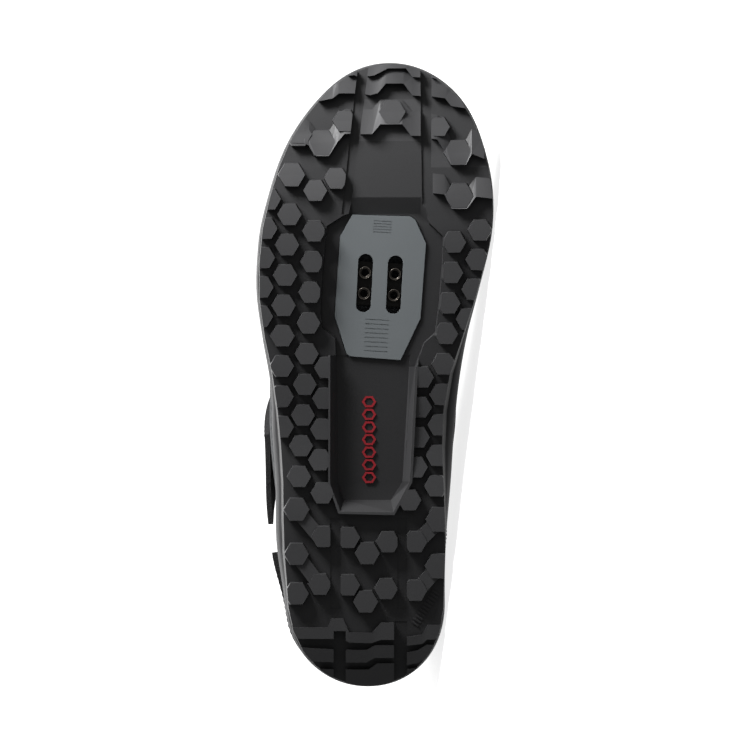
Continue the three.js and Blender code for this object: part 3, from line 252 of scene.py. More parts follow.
def smooth(table: np.ndarray, column: int, at: np.ndarray | float) -> np.ndarray:
    """Smooth curve through one column of a table.

    Args:
        table: rows with their place in column 0.
        column: the column to read.
        at: places to read it at.

    Returns:
        The values at those places.
    """
    place, value = table[:, 0], table[:, column]
    at = np.clip(np.asarray(at, float), place[0], place[-1])
    last = len(place) - 1
    after = np.minimum(np.arange(len(place)) + 1, last)
    before = np.maximum(np.arange(len(place)) - 1, 0)
    slope = (value[after] - value[before]) / (place[after] - place[before])
    nxt = np.clip(np.searchsorted(place, at, side="right"), 1, last)
    run = place[nxt] - place[nxt - 1]
    t = (at - place[nxt - 1]) / run
    rising = t * t * (3 - 2 * t)
    leaving = t * (1 - t) ** 2 * run * slope[nxt - 1]
    arriving = t * t * (t - 1) * run * slope[nxt]
    return value[nxt - 1] + (value[nxt] - value[nxt - 1]) * rising + leaving + arriving


def ease(value: np.ndarray | float, low: float, high: float) -> np.ndarray:
    """Goes smoothly from 0 at low to 1 at high."""
    t = np.clip((np.asarray(value, float) - low) / (high - low), 0, 1)
    return t * t * (3 - 2 * t)


def curve_through(points: np.ndarray, steps: int) -> np.ndarray:
    """Catmull-Rom curve through points, with the same number of steps between each two.

    Args:
        points: points that the curve passes.
        steps: steps between each two of them.

    Returns:
        The points of the curve.
    """
    ends = np.vstack([2 * points[0] - points[1], points, 2 * points[-1] - points[-2]])
    found = []
    for i in range(1, len(ends) - 2):
        for t in np.linspace(0, 1, steps, endpoint=False):
            a, b, c, d = ends[i - 1:i + 3]
            found.append(0.5 * (2 * b + (c - a) * t + (2 * a - 5 * b + 4 * c - d) * t**2
                                + (3 * b - a - 3 * c + d) * t**3))
    found.append(points[-1])
    return np.array(found)


def spread(wanted: np.ndarray, reach: np.ndarray, values: np.ndarray) -> np.ndarray:
    """Rows of three values read at wanted places between the places where they are known."""
    return np.column_stack([np.interp(wanted, reach, values[:, c]) for c in range(3)])


def ring_faces(levels: int, size: int) -> list[tuple[int, int, int, int]]:
    """Faces between rings of points that follow one another.

    Args:
        levels: how many rings there are.
        size: how many points each ring has.

    Returns:
        The four corners of each face.
    """
    faces = []
    for level in range(levels - 1):
        for i in range(size):
            a, b = level * size + i, level * size + (i + 1) % size
            faces.append((a, b, b + size, a + size))
    return faces


class Placement:
    """The turn from the standing shoe in millimetres to the frame in metres."""

    def __init__(self, record: dict) -> None:
        """Reads the record's mounts, whose places on the standing shoe are known.

        Args:
            record: the part's record.
        """
        sole = SoleSizes()
        mounts = {mount["name"]: mount for mount in record["mounts"]}
        plate = Vector((sole.plate_along * sole.length, sole.plate_across * sole.width,
                        sole.plate_height))
        heel = Vector((sole.heel_along * sole.length, sole.heel_across * sole.width, 0.0))
        up = -Vector(mounts["cleat_face"]["axis"]).normalized()
        place = Vector(mounts["cleat_face"]["pos_m"])
        there = place - Vector(mounts["heel_tread"]["pos_m"])
        flat = (there - up * there.dot(up)).normalized()
        drawn = (plate - heel).to_2d()
        angle = math.atan2(drawn.y, drawn.x)
        aside = up.cross(flat)
        toe = flat * math.cos(angle) - aside * math.sin(angle)
        turn = Matrix((toe, up.cross(toe), up)).transposed().to_4x4()
        self.matrix = (Matrix.Translation(place) @ turn @ Matrix.Scale(MM, 4)
                       @ Matrix.Translation(-plate))
        self.array = np.array(self.matrix)

    def points(self, points: np.ndarray) -> np.ndarray:
        """Standing points turned to the frame."""
        flat = np.asarray(points, float).reshape(-1, 3)
        return flat @ self.array[:3, :3].T + self.array[:3, 3]


class SoleShape:
    """Heights and edges of the sole on the standing shoe."""

    def __init__(self, sizes: SoleSizes) -> None:
        """Keeps the sole's sizes."""
        self.s = sizes

    def rise(self, x: np.ndarray | float) -> np.ndarray:
        """Height of the lug tips at the toe and at the waist.

        Args:
            x: places along the sole, in millimetres.

        Returns:
            The heights there.
        """
        s = self.s
        share = np.asarray(x, float) / s.length
        toward = np.maximum(share - s.spring_start, 0) / (1 - s.spring_start)
        waist = np.clip((share - s.waist_start) / (s.waist_end - s.waist_start), 0, 1)
        return s.toe_spring * toward**s.spring_power + s.arch_rise * np.sin(np.pi * waist) ** 2

    def ground(self, x: np.ndarray | float) -> np.ndarray:
        """The same with the bevel at the back of the heel."""
        back = np.clip(1 - np.asarray(x, float) / (self.s.bevel_run * self.s.length), 0, 1.2)
        return self.rise(x) + self.s.heel_rise * back**self.s.bevel_power

    def rubber_top(self, x: np.ndarray | float) -> np.ndarray:
        """Top of the rubber."""
        return self.ground(x) + self.s.lug_height + self.s.rubber

    def bed(self, x: np.ndarray | float) -> np.ndarray:
        """Height of the foot bed.

        Args:
            x: places along the sole, in millimetres.

        Returns:
            The heights there.
        """
        s = self.s
        forward = ease(np.asarray(x, float) / s.length, s.foam_thins_from, s.foam_thins_to)
        foam = s.heel_foam + (s.ball_foam - s.heel_foam) * forward
        return self.rise(x) + s.lug_height + s.rubber + s.seam + foam

    def rim(self, x: np.ndarray | float) -> np.ndarray:
        """Height of the midsole's rim."""
        share = np.asarray(x, float) / self.s.length
        return self.bed(x) + self.s.rim_height * smooth(RIM_LINE, 1, share)

    def ring(self, flare: float, inset: float, height: Callable[[np.ndarray], np.ndarray],
             stations: int) -> np.ndarray:
        """Ring of points round the sole: the lateral half forwards, then the medial half back.

        Args:
            flare: 0 at the edge of the tread, 1 at the rim.
            inset: how far the ring stands in, in millimetres.
            height: function from x to z.
            stations: how many steps there are along the sole.

        Returns:
            Points on the standing shoe.
        """
        s = self.s
        share = (1 - np.cos(np.pi * np.arange(stations + 1) / stations)) / 2
        half, centre, tuck_l, tuck_m = (smooth(SOLE_OUTLINE, column, share) * s.width
                                        for column in (1, 2, 3, 4))
        end = inset + (1 - flare) * tuck_m
        low, high = inset + end, s.length - inset - end
        x = low + (high - low) * share
        heel = np.clip(1 - share * s.length / s.heel_arc, 0, 1)
        toe = np.clip(1 - (1 - share) * s.length / s.toe_arc, 0, 1)
        around = (1 - np.maximum(heel, toe) ** s.end_round) ** (1 / s.end_round)
        lateral = centre - (half - inset - (1 - flare) * tuck_l) * around
        medial = centre + (half - inset - (1 - flare) * tuck_m) * around
        z = height(x)
        near = np.column_stack([x, lateral, z])
        far = np.column_stack([x, medial, z])
        return np.vstack([near, far[::-1]])


class LastShape:
    """The last that the upper, its overlays and its straps are drawn over."""

    stations = 110
    around = 112
    toe_rounds = 5
    toe_turn = 80
    toe_depth = 3.2
    normal_rounds = 6
    crease_fade = 0.12

    def __init__(self, sole: SoleShape, sizes: UpperSizes) -> None:
        """Draws the grid of the last's surface and its normals.

        Args:
            sole: the sole's heights and edges.
            sizes: sizes of the upper.
        """
        self.sole, self.s = sole, sizes
        rings = [self.section(place) for place in np.linspace(0, 1, self.stations + 1)]
        tip, before = rings[-1], rings[-2]
        middle, forward = tip.mean(0), (tip.mean(0) - before.mean(0))
        forward /= np.linalg.norm(forward)
        for turn in np.linspace(0, 1, self.toe_rounds + 1)[1:]:
            angle = turn * math.radians(self.toe_turn)
            rings.append(middle + (tip - middle) * math.cos(angle)
                         + forward * self.toe_depth * math.sin(angle))
        self.grid = np.array(rings)
        along = np.gradient(self.grid, axis=0)
        across = np.roll(self.grid, -1, axis=1) - np.roll(self.grid, 1, axis=1)
        normals = np.cross(across, along)
        for _ in range(self.normal_rounds):
            normals /= np.maximum(np.linalg.norm(normals, axis=2, keepdims=True), 1e-9)
            beside = np.roll(normals, 1, axis=1) + np.roll(normals, -1, axis=1)
            ends = np.vstack([normals[:1], normals[:-1]]) + np.vstack([normals[1:], normals[-1:]])
            normals = 2 * normals + beside + ends
        length = np.linalg.norm(normals, axis=2, keepdims=True)
        self.normals = normals / np.maximum(length, 1e-9)

    def section(self, place: float) -> np.ndarray:
        """Ring of the last at a place between the ankle (0) and the tip of the toe (1).

        Args:
            place: 0 at the ankle, 1 at the tip of the toe.

        Returns:
            Points on the standing shoe.
        """
        rows = len(LAST_SECTIONS) - 1
        table = np.column_stack([np.arange(rows + 1) / rows, LAST_SECTIONS])
        row = {name: float(smooth(table, i + 1, place)) for i, name in enumerate(LAST_COLUMNS)}
        foot_x, ridge_x = row["foot"] * self.sole.s.length, row["ridge"] * self.sole.s.length
        foot_z = self.sole.bed(foot_x) + row["lift"] * self.s.height
        ridge_z = self.sole.bed(ridge_x) + row["height"] * self.s.height
        angle = 2 * np.pi * (np.arange(self.around) + 0.5) / self.around
        low = np.cos(angle) > 0
        power = np.where(low, 2 / row["sole_round"], 2 / row["ridge_round"])
        rise, spread = np.abs(np.cos(angle)) ** power, np.abs(np.sin(angle)) ** power
        up = np.where(low, row["belly"] * (1 - rise), row["belly"] + (1 - row["belly"]) * rise)
        edge = np.where(np.sin(angle) > 0, row["medial"], -row["lateral"])
        sway = (row["sole_sway"] + (row["ridge_sway"] - row["sole_sway"]) * up) * (1 - spread)
        y = self.s.width * (sway + edge * spread)
        return np.column_stack([foot_x + (ridge_x - foot_x) * up, y,
                                foot_z + (ridge_z - foot_z) * up])

    def height_at(self, up: float) -> float:
        """Height for a share of the last's height above the heel's bed."""
        return float(self.sole.bed(0)) + up * self.s.height

    def wall(self, points: np.ndarray) -> np.ndarray:
        """Thickness of the upper's wall, which swells into a padded collar.

        Args:
            points: points on the standing shoe.

        Returns:
            The thickness at each, in millimetres.
        """
        s, length = self.s, self.sole.s.length
        high = ease(points[..., 2], self.height_at(s.swell_low), self.height_at(s.swell_high))
        rear = 1 - ease(points[..., 0], s.swell_rear * length, s.swell_front * length)
        return s.wall + s.padding * high * rear

    def offset(self, distance: float | np.ndarray) -> np.ndarray:
        """The grid moved out by a distance, a number or an array over the grid."""
        amount = np.broadcast_to(np.asarray(distance, float), self.grid.shape[:2])
        return self.grid + self.normals * amount[..., None]

    def creases(self) -> np.ndarray:
        """Soft troughs and ridges where the upper has been bent, as heights over the grid.

        Returns:
            A height for each point of the grid, in millimetres.
        """
        share = (np.arange(self.around) + 0.5) / self.around
        total = np.zeros(self.grid.shape[:2])
        for medial, ridge, lateral, start, end, depth, width in CREASES:
            centre = np.interp(share, (0.25, 0.5, 0.75), (medial, ridge, lateral))
            centre *= self.sole.s.length
            fade = self.crease_fade
            window = ease(share, start, start + fade) * (1 - ease(share, end - fade, end))
            total -= depth * window * np.exp(-((self.grid[..., 0] - centre) / width) ** 2)
        return total

    def patch(self, places: np.ndarray, widths: np.ndarray, columns: int) -> Line:
        """Grid of points and normals over the ridge of the foot.

        Args:
            places: a place along the last for each row.
            widths: (lateral, medial) reach from the ridge for each row, in millimetres.
            columns: how many points there are across.

        Returns:
            Points and normals, rows by columns.
        """
        points, normals = [], []
        for place, (lateral, medial) in zip(places, widths):
            station = place * self.stations
            low = int(np.clip(np.floor(station), 0, self.stations - 1))
            part = station - low
            ring = self.grid[low] * (1 - part) + self.grid[low + 1] * part
            facing = self.normals[low] * (1 - part) + self.normals[low + 1] * part
            steps = np.linalg.norm(np.diff(ring, axis=0), axis=1)
            reach = np.concatenate([[0], np.cumsum(steps)])
            middle = (reach[self.around // 2 - 1] + reach[self.around // 2]) / 2
            wanted = middle + np.linspace(-medial, lateral, columns)
            points.append(spread(wanted, reach, ring))
            normals.append(spread(wanted, reach, facing))
        return np.array(points), np.array(normals)


class Surface:
    """A form that lines can be dropped on to."""

    aside = 200.0
    above = 400.0

    def __init__(self, grid: np.ndarray) -> None:
        """Builds the search tree of a grid on the standing shoe."""
        levels, size = grid.shape[:2]
        points = grid.reshape(-1, 3).tolist()
        self.tree = BVHTree.FromPolygons(points, ring_faces(levels, size))

    def drop(self, starts: np.ndarray, direction: tuple[float, float, float]) -> Line:
        """Where lines from the starts meet the form, with the normals there.

        Args:
            starts: where the lines start.
            direction: where they run.

        Returns:
            Points and normals, without the lines that miss.
        """
        points, normals = [], []
        for start in starts:
            place, normal, _, _ = self.tree.ray_cast(Vector(start), Vector(direction))
            if place is not None:
                points.append(tuple(place))
                normals.append(tuple(normal if normal.dot(Vector(direction)) < 0 else -normal))
        return np.array(points), np.array(normals)

    def side(self, line: np.ndarray, side: Side) -> Line:
        """A side-view line dropped on to one side of the form."""
        away = np.full(len(line), side.value * self.aside)
        return self.drop(np.column_stack([line[:, 0], away, line[:, 1]]), (0, -side.value, 0))

    def top(self, line: np.ndarray) -> Line:
        """A plan line dropped on to the form from above."""
        starts = np.column_stack([line, np.full(len(line), self.above)])
        return self.drop(starts, (0, 0, -1))

    def over(self, place_at: Callable[[float], float], middle: float, angles: np.ndarray) -> Line:
        """A line over the form from side to side.

        Args:
            place_at: function from a height to the line's x.
            middle: height of the axis that the rays run in to.
            angles: directions of the rays in degrees, 0 towards the medial side and 90 up.

        Returns:
            Points and normals along the line.
        """
        points, normals = [], []
        for angle in np.radians(angles):
            out, x = np.array((0, math.cos(angle), math.sin(angle))), place_at(middle)
            for _ in range(3):
                start = np.array([(x, 0, middle)]) + out * self.aside
                found, facing = self.drop(start, tuple(-out))
                if not len(found):
                    break
                x = place_at(found[0, 2])
            if len(found):
                points.append(found[0])
                normals.append(facing[0])
        return np.array(points), np.array(normals)


def evened(points: np.ndarray, normals: np.ndarray, step: float) -> Line:
    """Points and normals set out again at even steps along their line.

    Args:
        points: points along the line.
        normals: their normals.
        step: distance between the new points.

    Returns:
        The new points and normals.
    """
    reach = np.concatenate([[0], np.cumsum(np.linalg.norm(np.diff(points, axis=0), axis=1))])
    wanted = np.arange(step / 2, reach[-1], step)
    return spread(wanted, reach, points), spread(wanted, reach, normals)


def select(obj: bpy.types.Object) -> bpy.types.Object:
    """Selects only this object and makes it active.

    Args:
        obj: the object.

    Returns:
        The same object.
    """
    bpy.ops.object.select_all(action="DESELECT")
    obj.select_set(True)
    bpy.context.view_layer.objects.active = obj
    return obj


def added(operator: Callable, **settings: object) -> bpy.types.Object:
    """Runs an operator that adds an object, with nothing else selected.

    Args:
        operator: the operator.
        **settings: its settings.

    Returns:
        The new object.
    """
    bpy.ops.object.select_all(action="DESELECT")
    operator(**settings)
    return bpy.context.object


def apply(obj: bpy.types.Object, kind: str, **settings: object) -> bpy.types.Object:
    """Adds a modifier to an object and applies it.

    Args:
        obj: the object.
        kind: the modifier's type.
        **settings: its settings.

    Returns:
        The same object.
    """
    select(obj)
    modifier = obj.modifiers.new(kind.title(), kind)
    for key, value in settings.items():
        setattr(modifier, key, value)
    bpy.ops.object.modifier_apply(modifier=modifier.name)
    return obj


def edit(obj: bpy.types.Object, *steps: Callable) -> bpy.types.Object:
    """Runs edit-mode operators on everything in an object.

    Args:
        obj: the object.
        *steps: functions that run the operators.

    Returns:
        The same object.
    """
    select(obj)
    bpy.ops.object.mode_set(mode="EDIT")
    bpy.ops.mesh.select_all(action="SELECT")
    for step in steps:
        step()
    bpy.ops.object.mode_set(mode="OBJECT")
    return obj


def outward(obj: bpy.types.Object) -> bpy.types.Object:
    """Turns the faces of a closed piece outwards, also where it folds over itself.

    Args:
        obj: the piece.

    Returns:
        The same piece.
    """
    edit(obj, lambda: bpy.ops.mesh.normals_make_consistent(inside=False))
    work = bmesh.new()
    work.from_mesh(obj.data)
    inside_out = work.calc_volume(signed=True) < 0
    work.free()
    return edit(obj, bpy.ops.mesh.flip_normals) if inside_out else obj


def shade(obj: bpy.types.Object, degrees: float = 35) -> bpy.types.Object:
    """Smooth shading with sharp edges above an angle, and flat faces that stay flat.

    Args:
        obj: the piece.
        degrees: angle above which an edge stays sharp.

    Returns:
        The same piece.
    """
    select(obj)
    bpy.ops.object.shade_smooth_by_angle(angle=math.radians(degrees))
    return apply(obj, "WEIGHTED_NORMAL", weight=100, keep_sharp=True)


class Maker:
    """Makes the pieces' meshes in the frame."""

    def __init__(self, placement: Placement) -> None:
        """Keeps the placement of the standing shoe."""
        self.placement = placement

    def linked(self, name: str, points: np.ndarray, faces: list) -> bpy.types.Object:
        """New object from points and faces.

        Args:
            name: name of the new object.
            points: corners on the standing shoe, in millimetres.
            faces: corners of each face.

        Returns:
            The new object.
        """
        mesh = bpy.data.meshes.new(name)
        mesh.from_pydata(self.placement.points(points).tolist(), [], faces)
        obj = bpy.data.objects.new(name, mesh)
        bpy.context.collection.objects.link(obj)
        return obj

    def form(self, name: str, rings: np.ndarray) -> bpy.types.Object:
        """Closed lofted form through rings, which no primitive gives, its ends closed by strips.

        Args:
            name: name of the new object.
            rings: grid of points on the standing shoe, ring by ring.

        Returns:
            The new object, with its normals outwards.
        """
        levels, size = rings.shape[:2]
        faces = ring_faces(levels, size)
        for start in (0, (levels - 1) * size):
            last = start + size - 1
            for i in range(size // 2 - 1):
                faces.append((start + i, start + i + 1, last - 1 - i, last - i))
        obj = self.linked(name, rings, faces)
        return outward(edit(obj, lambda: bpy.ops.mesh.remove_doubles(threshold=1e-6)))

    def pillow(self, name: str, outer: np.ndarray, inner: np.ndarray) -> bpy.types.Object:
        """Closed sheet between an outer and an inner grid, with a UV map in millimetres.

        Args:
            name: name of the new object.
            outer: grid of points on its outer side.
            inner: grid of points on its inner side.

        Returns:
            The sheet, with its normals outwards.
        """
        rows, columns = outer.shape[:2]
        count = rows * columns
        faces = []
        for r in range(rows - 1):
            for c in range(columns - 1):
                a = r * columns + c
                faces.append((a, a + 1, a + 1 + columns, a + columns))
                b = count + a
                faces.append((b + columns, b + 1 + columns, b + 1, b))
        rim = [(0, c) for c in range(columns)] + [(r, columns - 1) for r in range(1, rows)]
        rim += [(rows - 1, c) for c in range(columns - 2, -1, -1)]
        rim += [(r, 0) for r in range(rows - 2, 0, -1)]
        ids = [r * columns + c for r, c in rim]
        for before, here in zip(ids[-1:] + ids[:-1], ids):
            faces.append((here, before, count + before, count + here))
        both = np.vstack([outer.reshape(-1, 3), inner.reshape(-1, 3)])
        obj = self.linked(name, both, faces)
        sideways = np.linalg.norm(np.diff(outer, axis=1, prepend=outer[:, :1]), axis=2)
        forwards = np.linalg.norm(np.diff(outer, axis=0, prepend=outer[:1]), axis=2)
        across, along = np.cumsum(sideways, axis=1), np.cumsum(forwards, axis=0)
        middle = across[:, columns // 2:columns // 2 + 1]
        flat = np.stack([across - middle, along], axis=2).reshape(-1, 2)
        layer = obj.data.uv_layers.new(name="UVMap")
        for loop in obj.data.loops:
            layer.data[loop.index].uv = flat[loop.vertex_index % count]
        edit(obj, lambda: bpy.ops.mesh.normals_make_consistent(inside=False))
        return shade(obj, 60)

    def stitches(self, name: str, points: np.ndarray, normals: np.ndarray, pitch: float = 3.0,
                 length: float = 2.1, width: float = 0.55,
                 height: float = 0.05) -> bpy.types.Object:
        """Row of thread stitches along a line on the shoe, one bead copied with its own mesh.

        Args:
            name: name of the new object.
            points: line on the standing shoe, in millimetres.
            normals: directions out of the surface along the line.
            pitch: distance from one stitch to the next.
            length: length of one stitch.
            width: thickness of the thread.
            height: how far the middle of the thread stands off the line.

        Returns:
            The row as one object.
        """
        places, facing = evened(points, normals, pitch)
        heading = np.gradient(places, axis=0)
        bead = added(bpy.ops.mesh.primitive_uv_sphere_add, segments=8, ring_count=6, radius=0.5)
        made = []
        for place, out, along in zip(places, facing, heading):
            x, z = Vector(along).normalized(), Vector(out).normalized()
            y = z.cross(x).normalized()
            turn = Matrix((x, y, x.cross(y))).transposed().to_4x4()
            copy = bead.copy()
            copy.data = bead.data.copy()
            bpy.context.collection.objects.link(copy)
            copy.matrix_world = (self.placement.matrix
                                 @ Matrix.Translation(Vector(place) + z * height) @ turn
                                 @ Matrix.Diagonal((length, width, width, 1)))
            made.append(copy)
        bpy.data.objects.remove(bead, do_unlink=True)
        return self.merged(name, made)

    @staticmethod
    def merged(name: str, made: list[bpy.types.Object]) -> bpy.types.Object:
        """Joins objects into one whose origin is that of the frame.

        Args:
            name: name of the joined object.
            made: the objects.

        Returns:
            The joined object.
        """
        bpy.ops.object.select_all(action="DESELECT")
        for obj in made:
            obj.select_set(True)
        bpy.context.view_layer.objects.active = made[0]
        if len(made) > 1:
            bpy.ops.object.join()
        obj = bpy.context.object
        obj.name = name
        bpy.ops.object.transform_apply(location=True, rotation=True, scale=True)
        return shade(obj, 60)

    def block(self, name: str, centre: tuple[float, float, float], size: tuple[float, float, float],
              turn: float = 0, bevel: float = 0.1) -> bpy.types.Object:
        """Box on the standing shoe, turned about z, with rounded edges.

        Args:
            name: name of the new object.
            centre: its middle, in millimetres.
            size: its size, in millimetres.
            turn: its turn about z, in degrees.
            bevel: width of its rounded edges, in millimetres.

        Returns:
            The box.
        """
        obj = added(bpy.ops.mesh.primitive_cube_add, size=1)
        obj.name = name
        obj.matrix_world = (self.placement.matrix @ Matrix.Translation(centre)
                            @ Matrix.Rotation(math.radians(turn), 4, "Z")
                            @ Matrix.Diagonal((*size, 1)))
        select(obj)
        bpy.ops.object.transform_apply(location=True, rotation=True, scale=True)
        if bevel:
            apply(obj, "BEVEL", width=bevel * MM, segments=2)
        return shade(obj, 40)

    def prism(self, name: str, outline: np.ndarray, low: float, high: float,
              axis: str) -> bpy.types.Object:
        """Prism from an outline in the side view (axis y) or in plan (axis z).

        Args:
            name: name of the new object.
            outline: its outline, in millimetres.
            low: where it starts.
            high: where it ends.
            axis: the axis that it runs along.

        Returns:
            The prism, with its normals outwards.
        """
        size = len(outline)
        column = 1 if axis == "y" else 2
        levels = [np.insert(outline, column, value, axis=1) for value in (low, high)]
        faces = [(i, (i + 1) % size, size + (i + 1) % size, size + i) for i in range(size)]
        faces += [tuple(range(size)), tuple(range(2 * size - 1, size - 1, -1))]
        obj = self.linked(name, np.vstack(levels), faces)
        return edit(obj, lambda: bpy.ops.mesh.normals_make_consistent(inside=False))

    @staticmethod
    def cut(obj: bpy.types.Object, tool: bpy.types.Object,
            how: str = "DIFFERENCE") -> bpy.types.Object:
        """Cuts or joins a piece with a tool, which is then removed.

        Args:
            obj: the piece.
            tool: the tool.
            how: the boolean's operation.

        Returns:
            The piece.
        """
        apply(obj, "BOOLEAN", operation=how, object=tool, solver="MANIFOLD")
        bpy.data.objects.remove(tool, do_unlink=True)
        return obj

    def dressed(self, name: str, node: str, width: float, angle: float = 30) -> bpy.types.Object:
        """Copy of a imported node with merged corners, clean faces and rounded edges.

        Args:
            name: name of the copy.
            node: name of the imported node.
            width: width of the rounded edges, in millimetres.
            angle: angle above which an edge is rounded.

        Returns:
            The copy.
        """
        obj = frame["nodes"][node].copy()
        obj.data = obj.data.copy()
        obj.name = name
        for key in list(obj.keys()):
            del obj[key]
        bpy.context.collection.objects.link(obj)
        obj.parent = None
        obj.matrix_world = Matrix.Identity(4)
        edit(obj, lambda: bpy.ops.mesh.remove_doubles(threshold=2e-5),
             lambda: bpy.ops.mesh.dissolve_limited(angle_limit=math.radians(0.8)),
             lambda: bpy.ops.mesh.normals_make_consistent(inside=False))
        apply(obj, "BEVEL", width=width * MM, segments=2, limit_method="ANGLE",
              angle_limit=math.radians(angle), use_clamp_overlap=True)
        return shade(obj, 40)

    @staticmethod
    def softened(obj: bpy.types.Object, width: float, angle: float = 50) -> bpy.types.Object:
        """Rounds the sharp edges of a cut sheet.

        Args:
            obj: the sheet.
            width: width of the rounded edges, in millimetres.
            angle: angle above which an edge is rounded.

        Returns:
            The same sheet.
        """
        edit(obj, lambda: bpy.ops.mesh.remove_doubles(threshold=2e-5),
             lambda: bpy.ops.mesh.dissolve_limited(angle_limit=math.radians(0.8)))
        apply(obj, "BEVEL", width=width * MM, segments=3, limit_method="ANGLE",
              angle_limit=math.radians(angle), use_clamp_overlap=True)
        return shade(obj, 40)

    def cord(self, name: str, points: np.ndarray, radius: float | np.ndarray, closed: bool = False,
             sides: int = 4) -> bpy.types.Object:
        """Round bead along a path on the standing shoe.

        Args:
            name: name of the new object.
            points: path in millimetres.
            radius: one radius or one for each point, in millimetres.
            closed: whether the path is a loop.
            sides: half the number of sides, as the curve's bevel resolution.

        Returns:
            The bead as a closed mesh.
        """
        obj = added(bpy.ops.curve.primitive_nurbs_path_add)
        obj.location, obj.name = (0, 0, 0), name
        obj.data.splines.clear()
        spline = obj.data.splines.new("POLY")
        spline.points.add(len(points) - 1)
        radii = np.broadcast_to(np.asarray(radius, float), (len(points),))
        for target, point, size in zip(spline.points, self.placement.points(points), radii):
            target.co = (*point, 1)
            target.radius = float(size)
        spline.use_cyclic_u = closed
        obj.data.dimensions = "3D"
        obj.data.bevel_depth = MM
        obj.data.bevel_resolution = sides
        obj.data.use_fill_caps = True
        select(obj)
        bpy.ops.object.convert(target="MESH")
        obj = bpy.context.object
        return shade(edit(obj, lambda: bpy.ops.mesh.normals_make_consistent(inside=False)), 60)


def node(tree: bpy.types.NodeTree, kind: str, values: dict | None = None,
         **settings: object) -> bpy.types.Node:
    """Adds a shader node.

    Args:
        tree: the material's or the world's node tree.
        kind: kind of the node, as its type's name after ShaderNode.
        values: a value, or a socket to link, for each of its inputs by name or number.
        **settings: settings of the node.

    Returns:
        The new node.
    """
    made = tree.nodes.new(f"ShaderNode{kind}")
    for key, value in settings.items():
        setattr(made, key, value)
    for key, value in (values or {}).items():
        if isinstance(value, bpy.types.NodeSocket):
            tree.links.new(value, made.inputs[key])
        else:
            made.inputs[key].default_value = value
    return made


@dataclass(frozen=True)
class Finish:
    """A procedural material.

    Attributes:
        name: name of the material.
        color: base colour, linear.
        dark: colour of the low places of the pattern, and on rubber the colour of its painted
            shade.
        roughness: roughness of the surface.
        grain: size of the grain in millimetres.
        bump: height of the grain in millimetres.
        weave: size of a woven or knitted cell in millimetres, or 0.
        weave_bump: height of the weave in millimetres.
        metallic: metalness.
        sheen: weight of the cloth sheen.
        specular: level of the dielectric reflection.
        glow: strength of the surface's own light.
        painted_light: whether the colour follows the piece's attribute of painted shade and painted
            highlights.
    """

    name: str
    color: tuple[float, float, float]
    dark: tuple[float, float, float]
    roughness: float
    grain: float = 0.6
    bump: float = 0.05
    weave: float = 0
    weave_bump: float = 0.2
    metallic: float = 0
    sheen: float = 0
    specular: float = 0.5
    glow: float = 0
    painted_light: bool = False

    # blotches: size in millimetres, share and middle; speckle of grain on the rubber; spread of
    # roughness
    cloud_size = 22
    cloud_share = 0.5
    cloud_middle = 0.25
    worn_speckle = 0.12
    roughness_spread = 0.08

    def material(self) -> bpy.types.Material:
        """Builds the material, or returns it if it is there.

        Returns:
            The material.
        """
        if self.name in bpy.data.materials:
            return bpy.data.materials[self.name]
        made = bpy.data.materials.new(self.name)
        made.use_nodes = True
        tree = made.node_tree
        shader = tree.nodes["Principled BSDF"]
        for socket, value in (("Metallic", self.metallic), ("Sheen Weight", self.sheen),
                              ("Specular IOR Level", self.specular),
                              ("Emission Color", (1, 1, 1, 1)), ("Emission Strength", self.glow)):
            shader.inputs[socket].default_value = value
        place = node(tree, "TexCoord").outputs["Object"]
        grain = node(tree, "TexNoise", {"Scale": 1 / (self.grain * MM), "Detail": 3,
                                        "Vector": place}).outputs["Fac"]
        pattern = self.woven(tree, place) if self.weave else grain
        # painted light: the colour follows the attribute of painted shade between the lugs and
        # painted highlights on their edges, with a speckle of grain
        if self.painted_light:
            painted_shade_and_highlight = node(tree, "Attribute", attribute_name="painted_shade_and_highlight").outputs["Fac"]
            tone = node(tree, "Math", {0: grain, 1: self.worn_speckle, 2: painted_shade_and_highlight},
                        operation="MULTIPLY_ADD", use_clamp=True).outputs[0]
        else:
            cloud = node(tree, "TexNoise", {"Scale": 1 / (self.cloud_size * MM),
                                            "Vector": place}).outputs["Fac"]
            blend = node(tree, "Math", {0: cloud, 1: self.cloud_share, 2: pattern},
                         operation="MULTIPLY_ADD").outputs[0]
            tone = node(tree, "Math", {0: blend, 1: self.cloud_middle},
                        operation="SUBTRACT", use_clamp=True).outputs[0]
        mix = node(tree, "Mix", {"A": (*self.dark, 1), "B": (*self.color, 1), "Factor": tone},
                   data_type="RGBA")
        tree.links.new(mix.outputs["Result"], shader.inputs["Base Color"])
        low, high = self.roughness - self.roughness_spread, self.roughness + self.roughness_spread
        rough = node(tree, "MapRange", {"Value": grain, "To Min": low, "To Max": min(high, 1)})
        tree.links.new(rough.outputs["Result"], shader.inputs["Roughness"])
        relief = node(tree, "Bump", {"Distance": self.bump * MM, "Height": grain}).outputs["Normal"]
        if self.weave:
            relief = node(tree, "Bump", {"Distance": self.weave_bump * MM, "Height": pattern,
                                         "Normal": relief}).outputs["Normal"]
        tree.links.new(relief, shader.inputs["Normal"])
        return made

    def woven(self, tree: bpy.types.NodeTree, place: bpy.types.NodeSocket) -> bpy.types.NodeSocket:
        """Adds the nodes of the weave.

        Args:
            tree: the material's node tree.
            place: socket of the coordinates.

        Returns:
            The socket of the weave's height.
        """
        cell = node(tree, "VectorMath", {"Vector": place, "Scale": 1 / (self.weave * MM)},
                    operation="SCALE").outputs["Vector"]
        return node(tree, "TexVoronoi", {"Vector": cell, "Scale": 1}).outputs["Distance"]
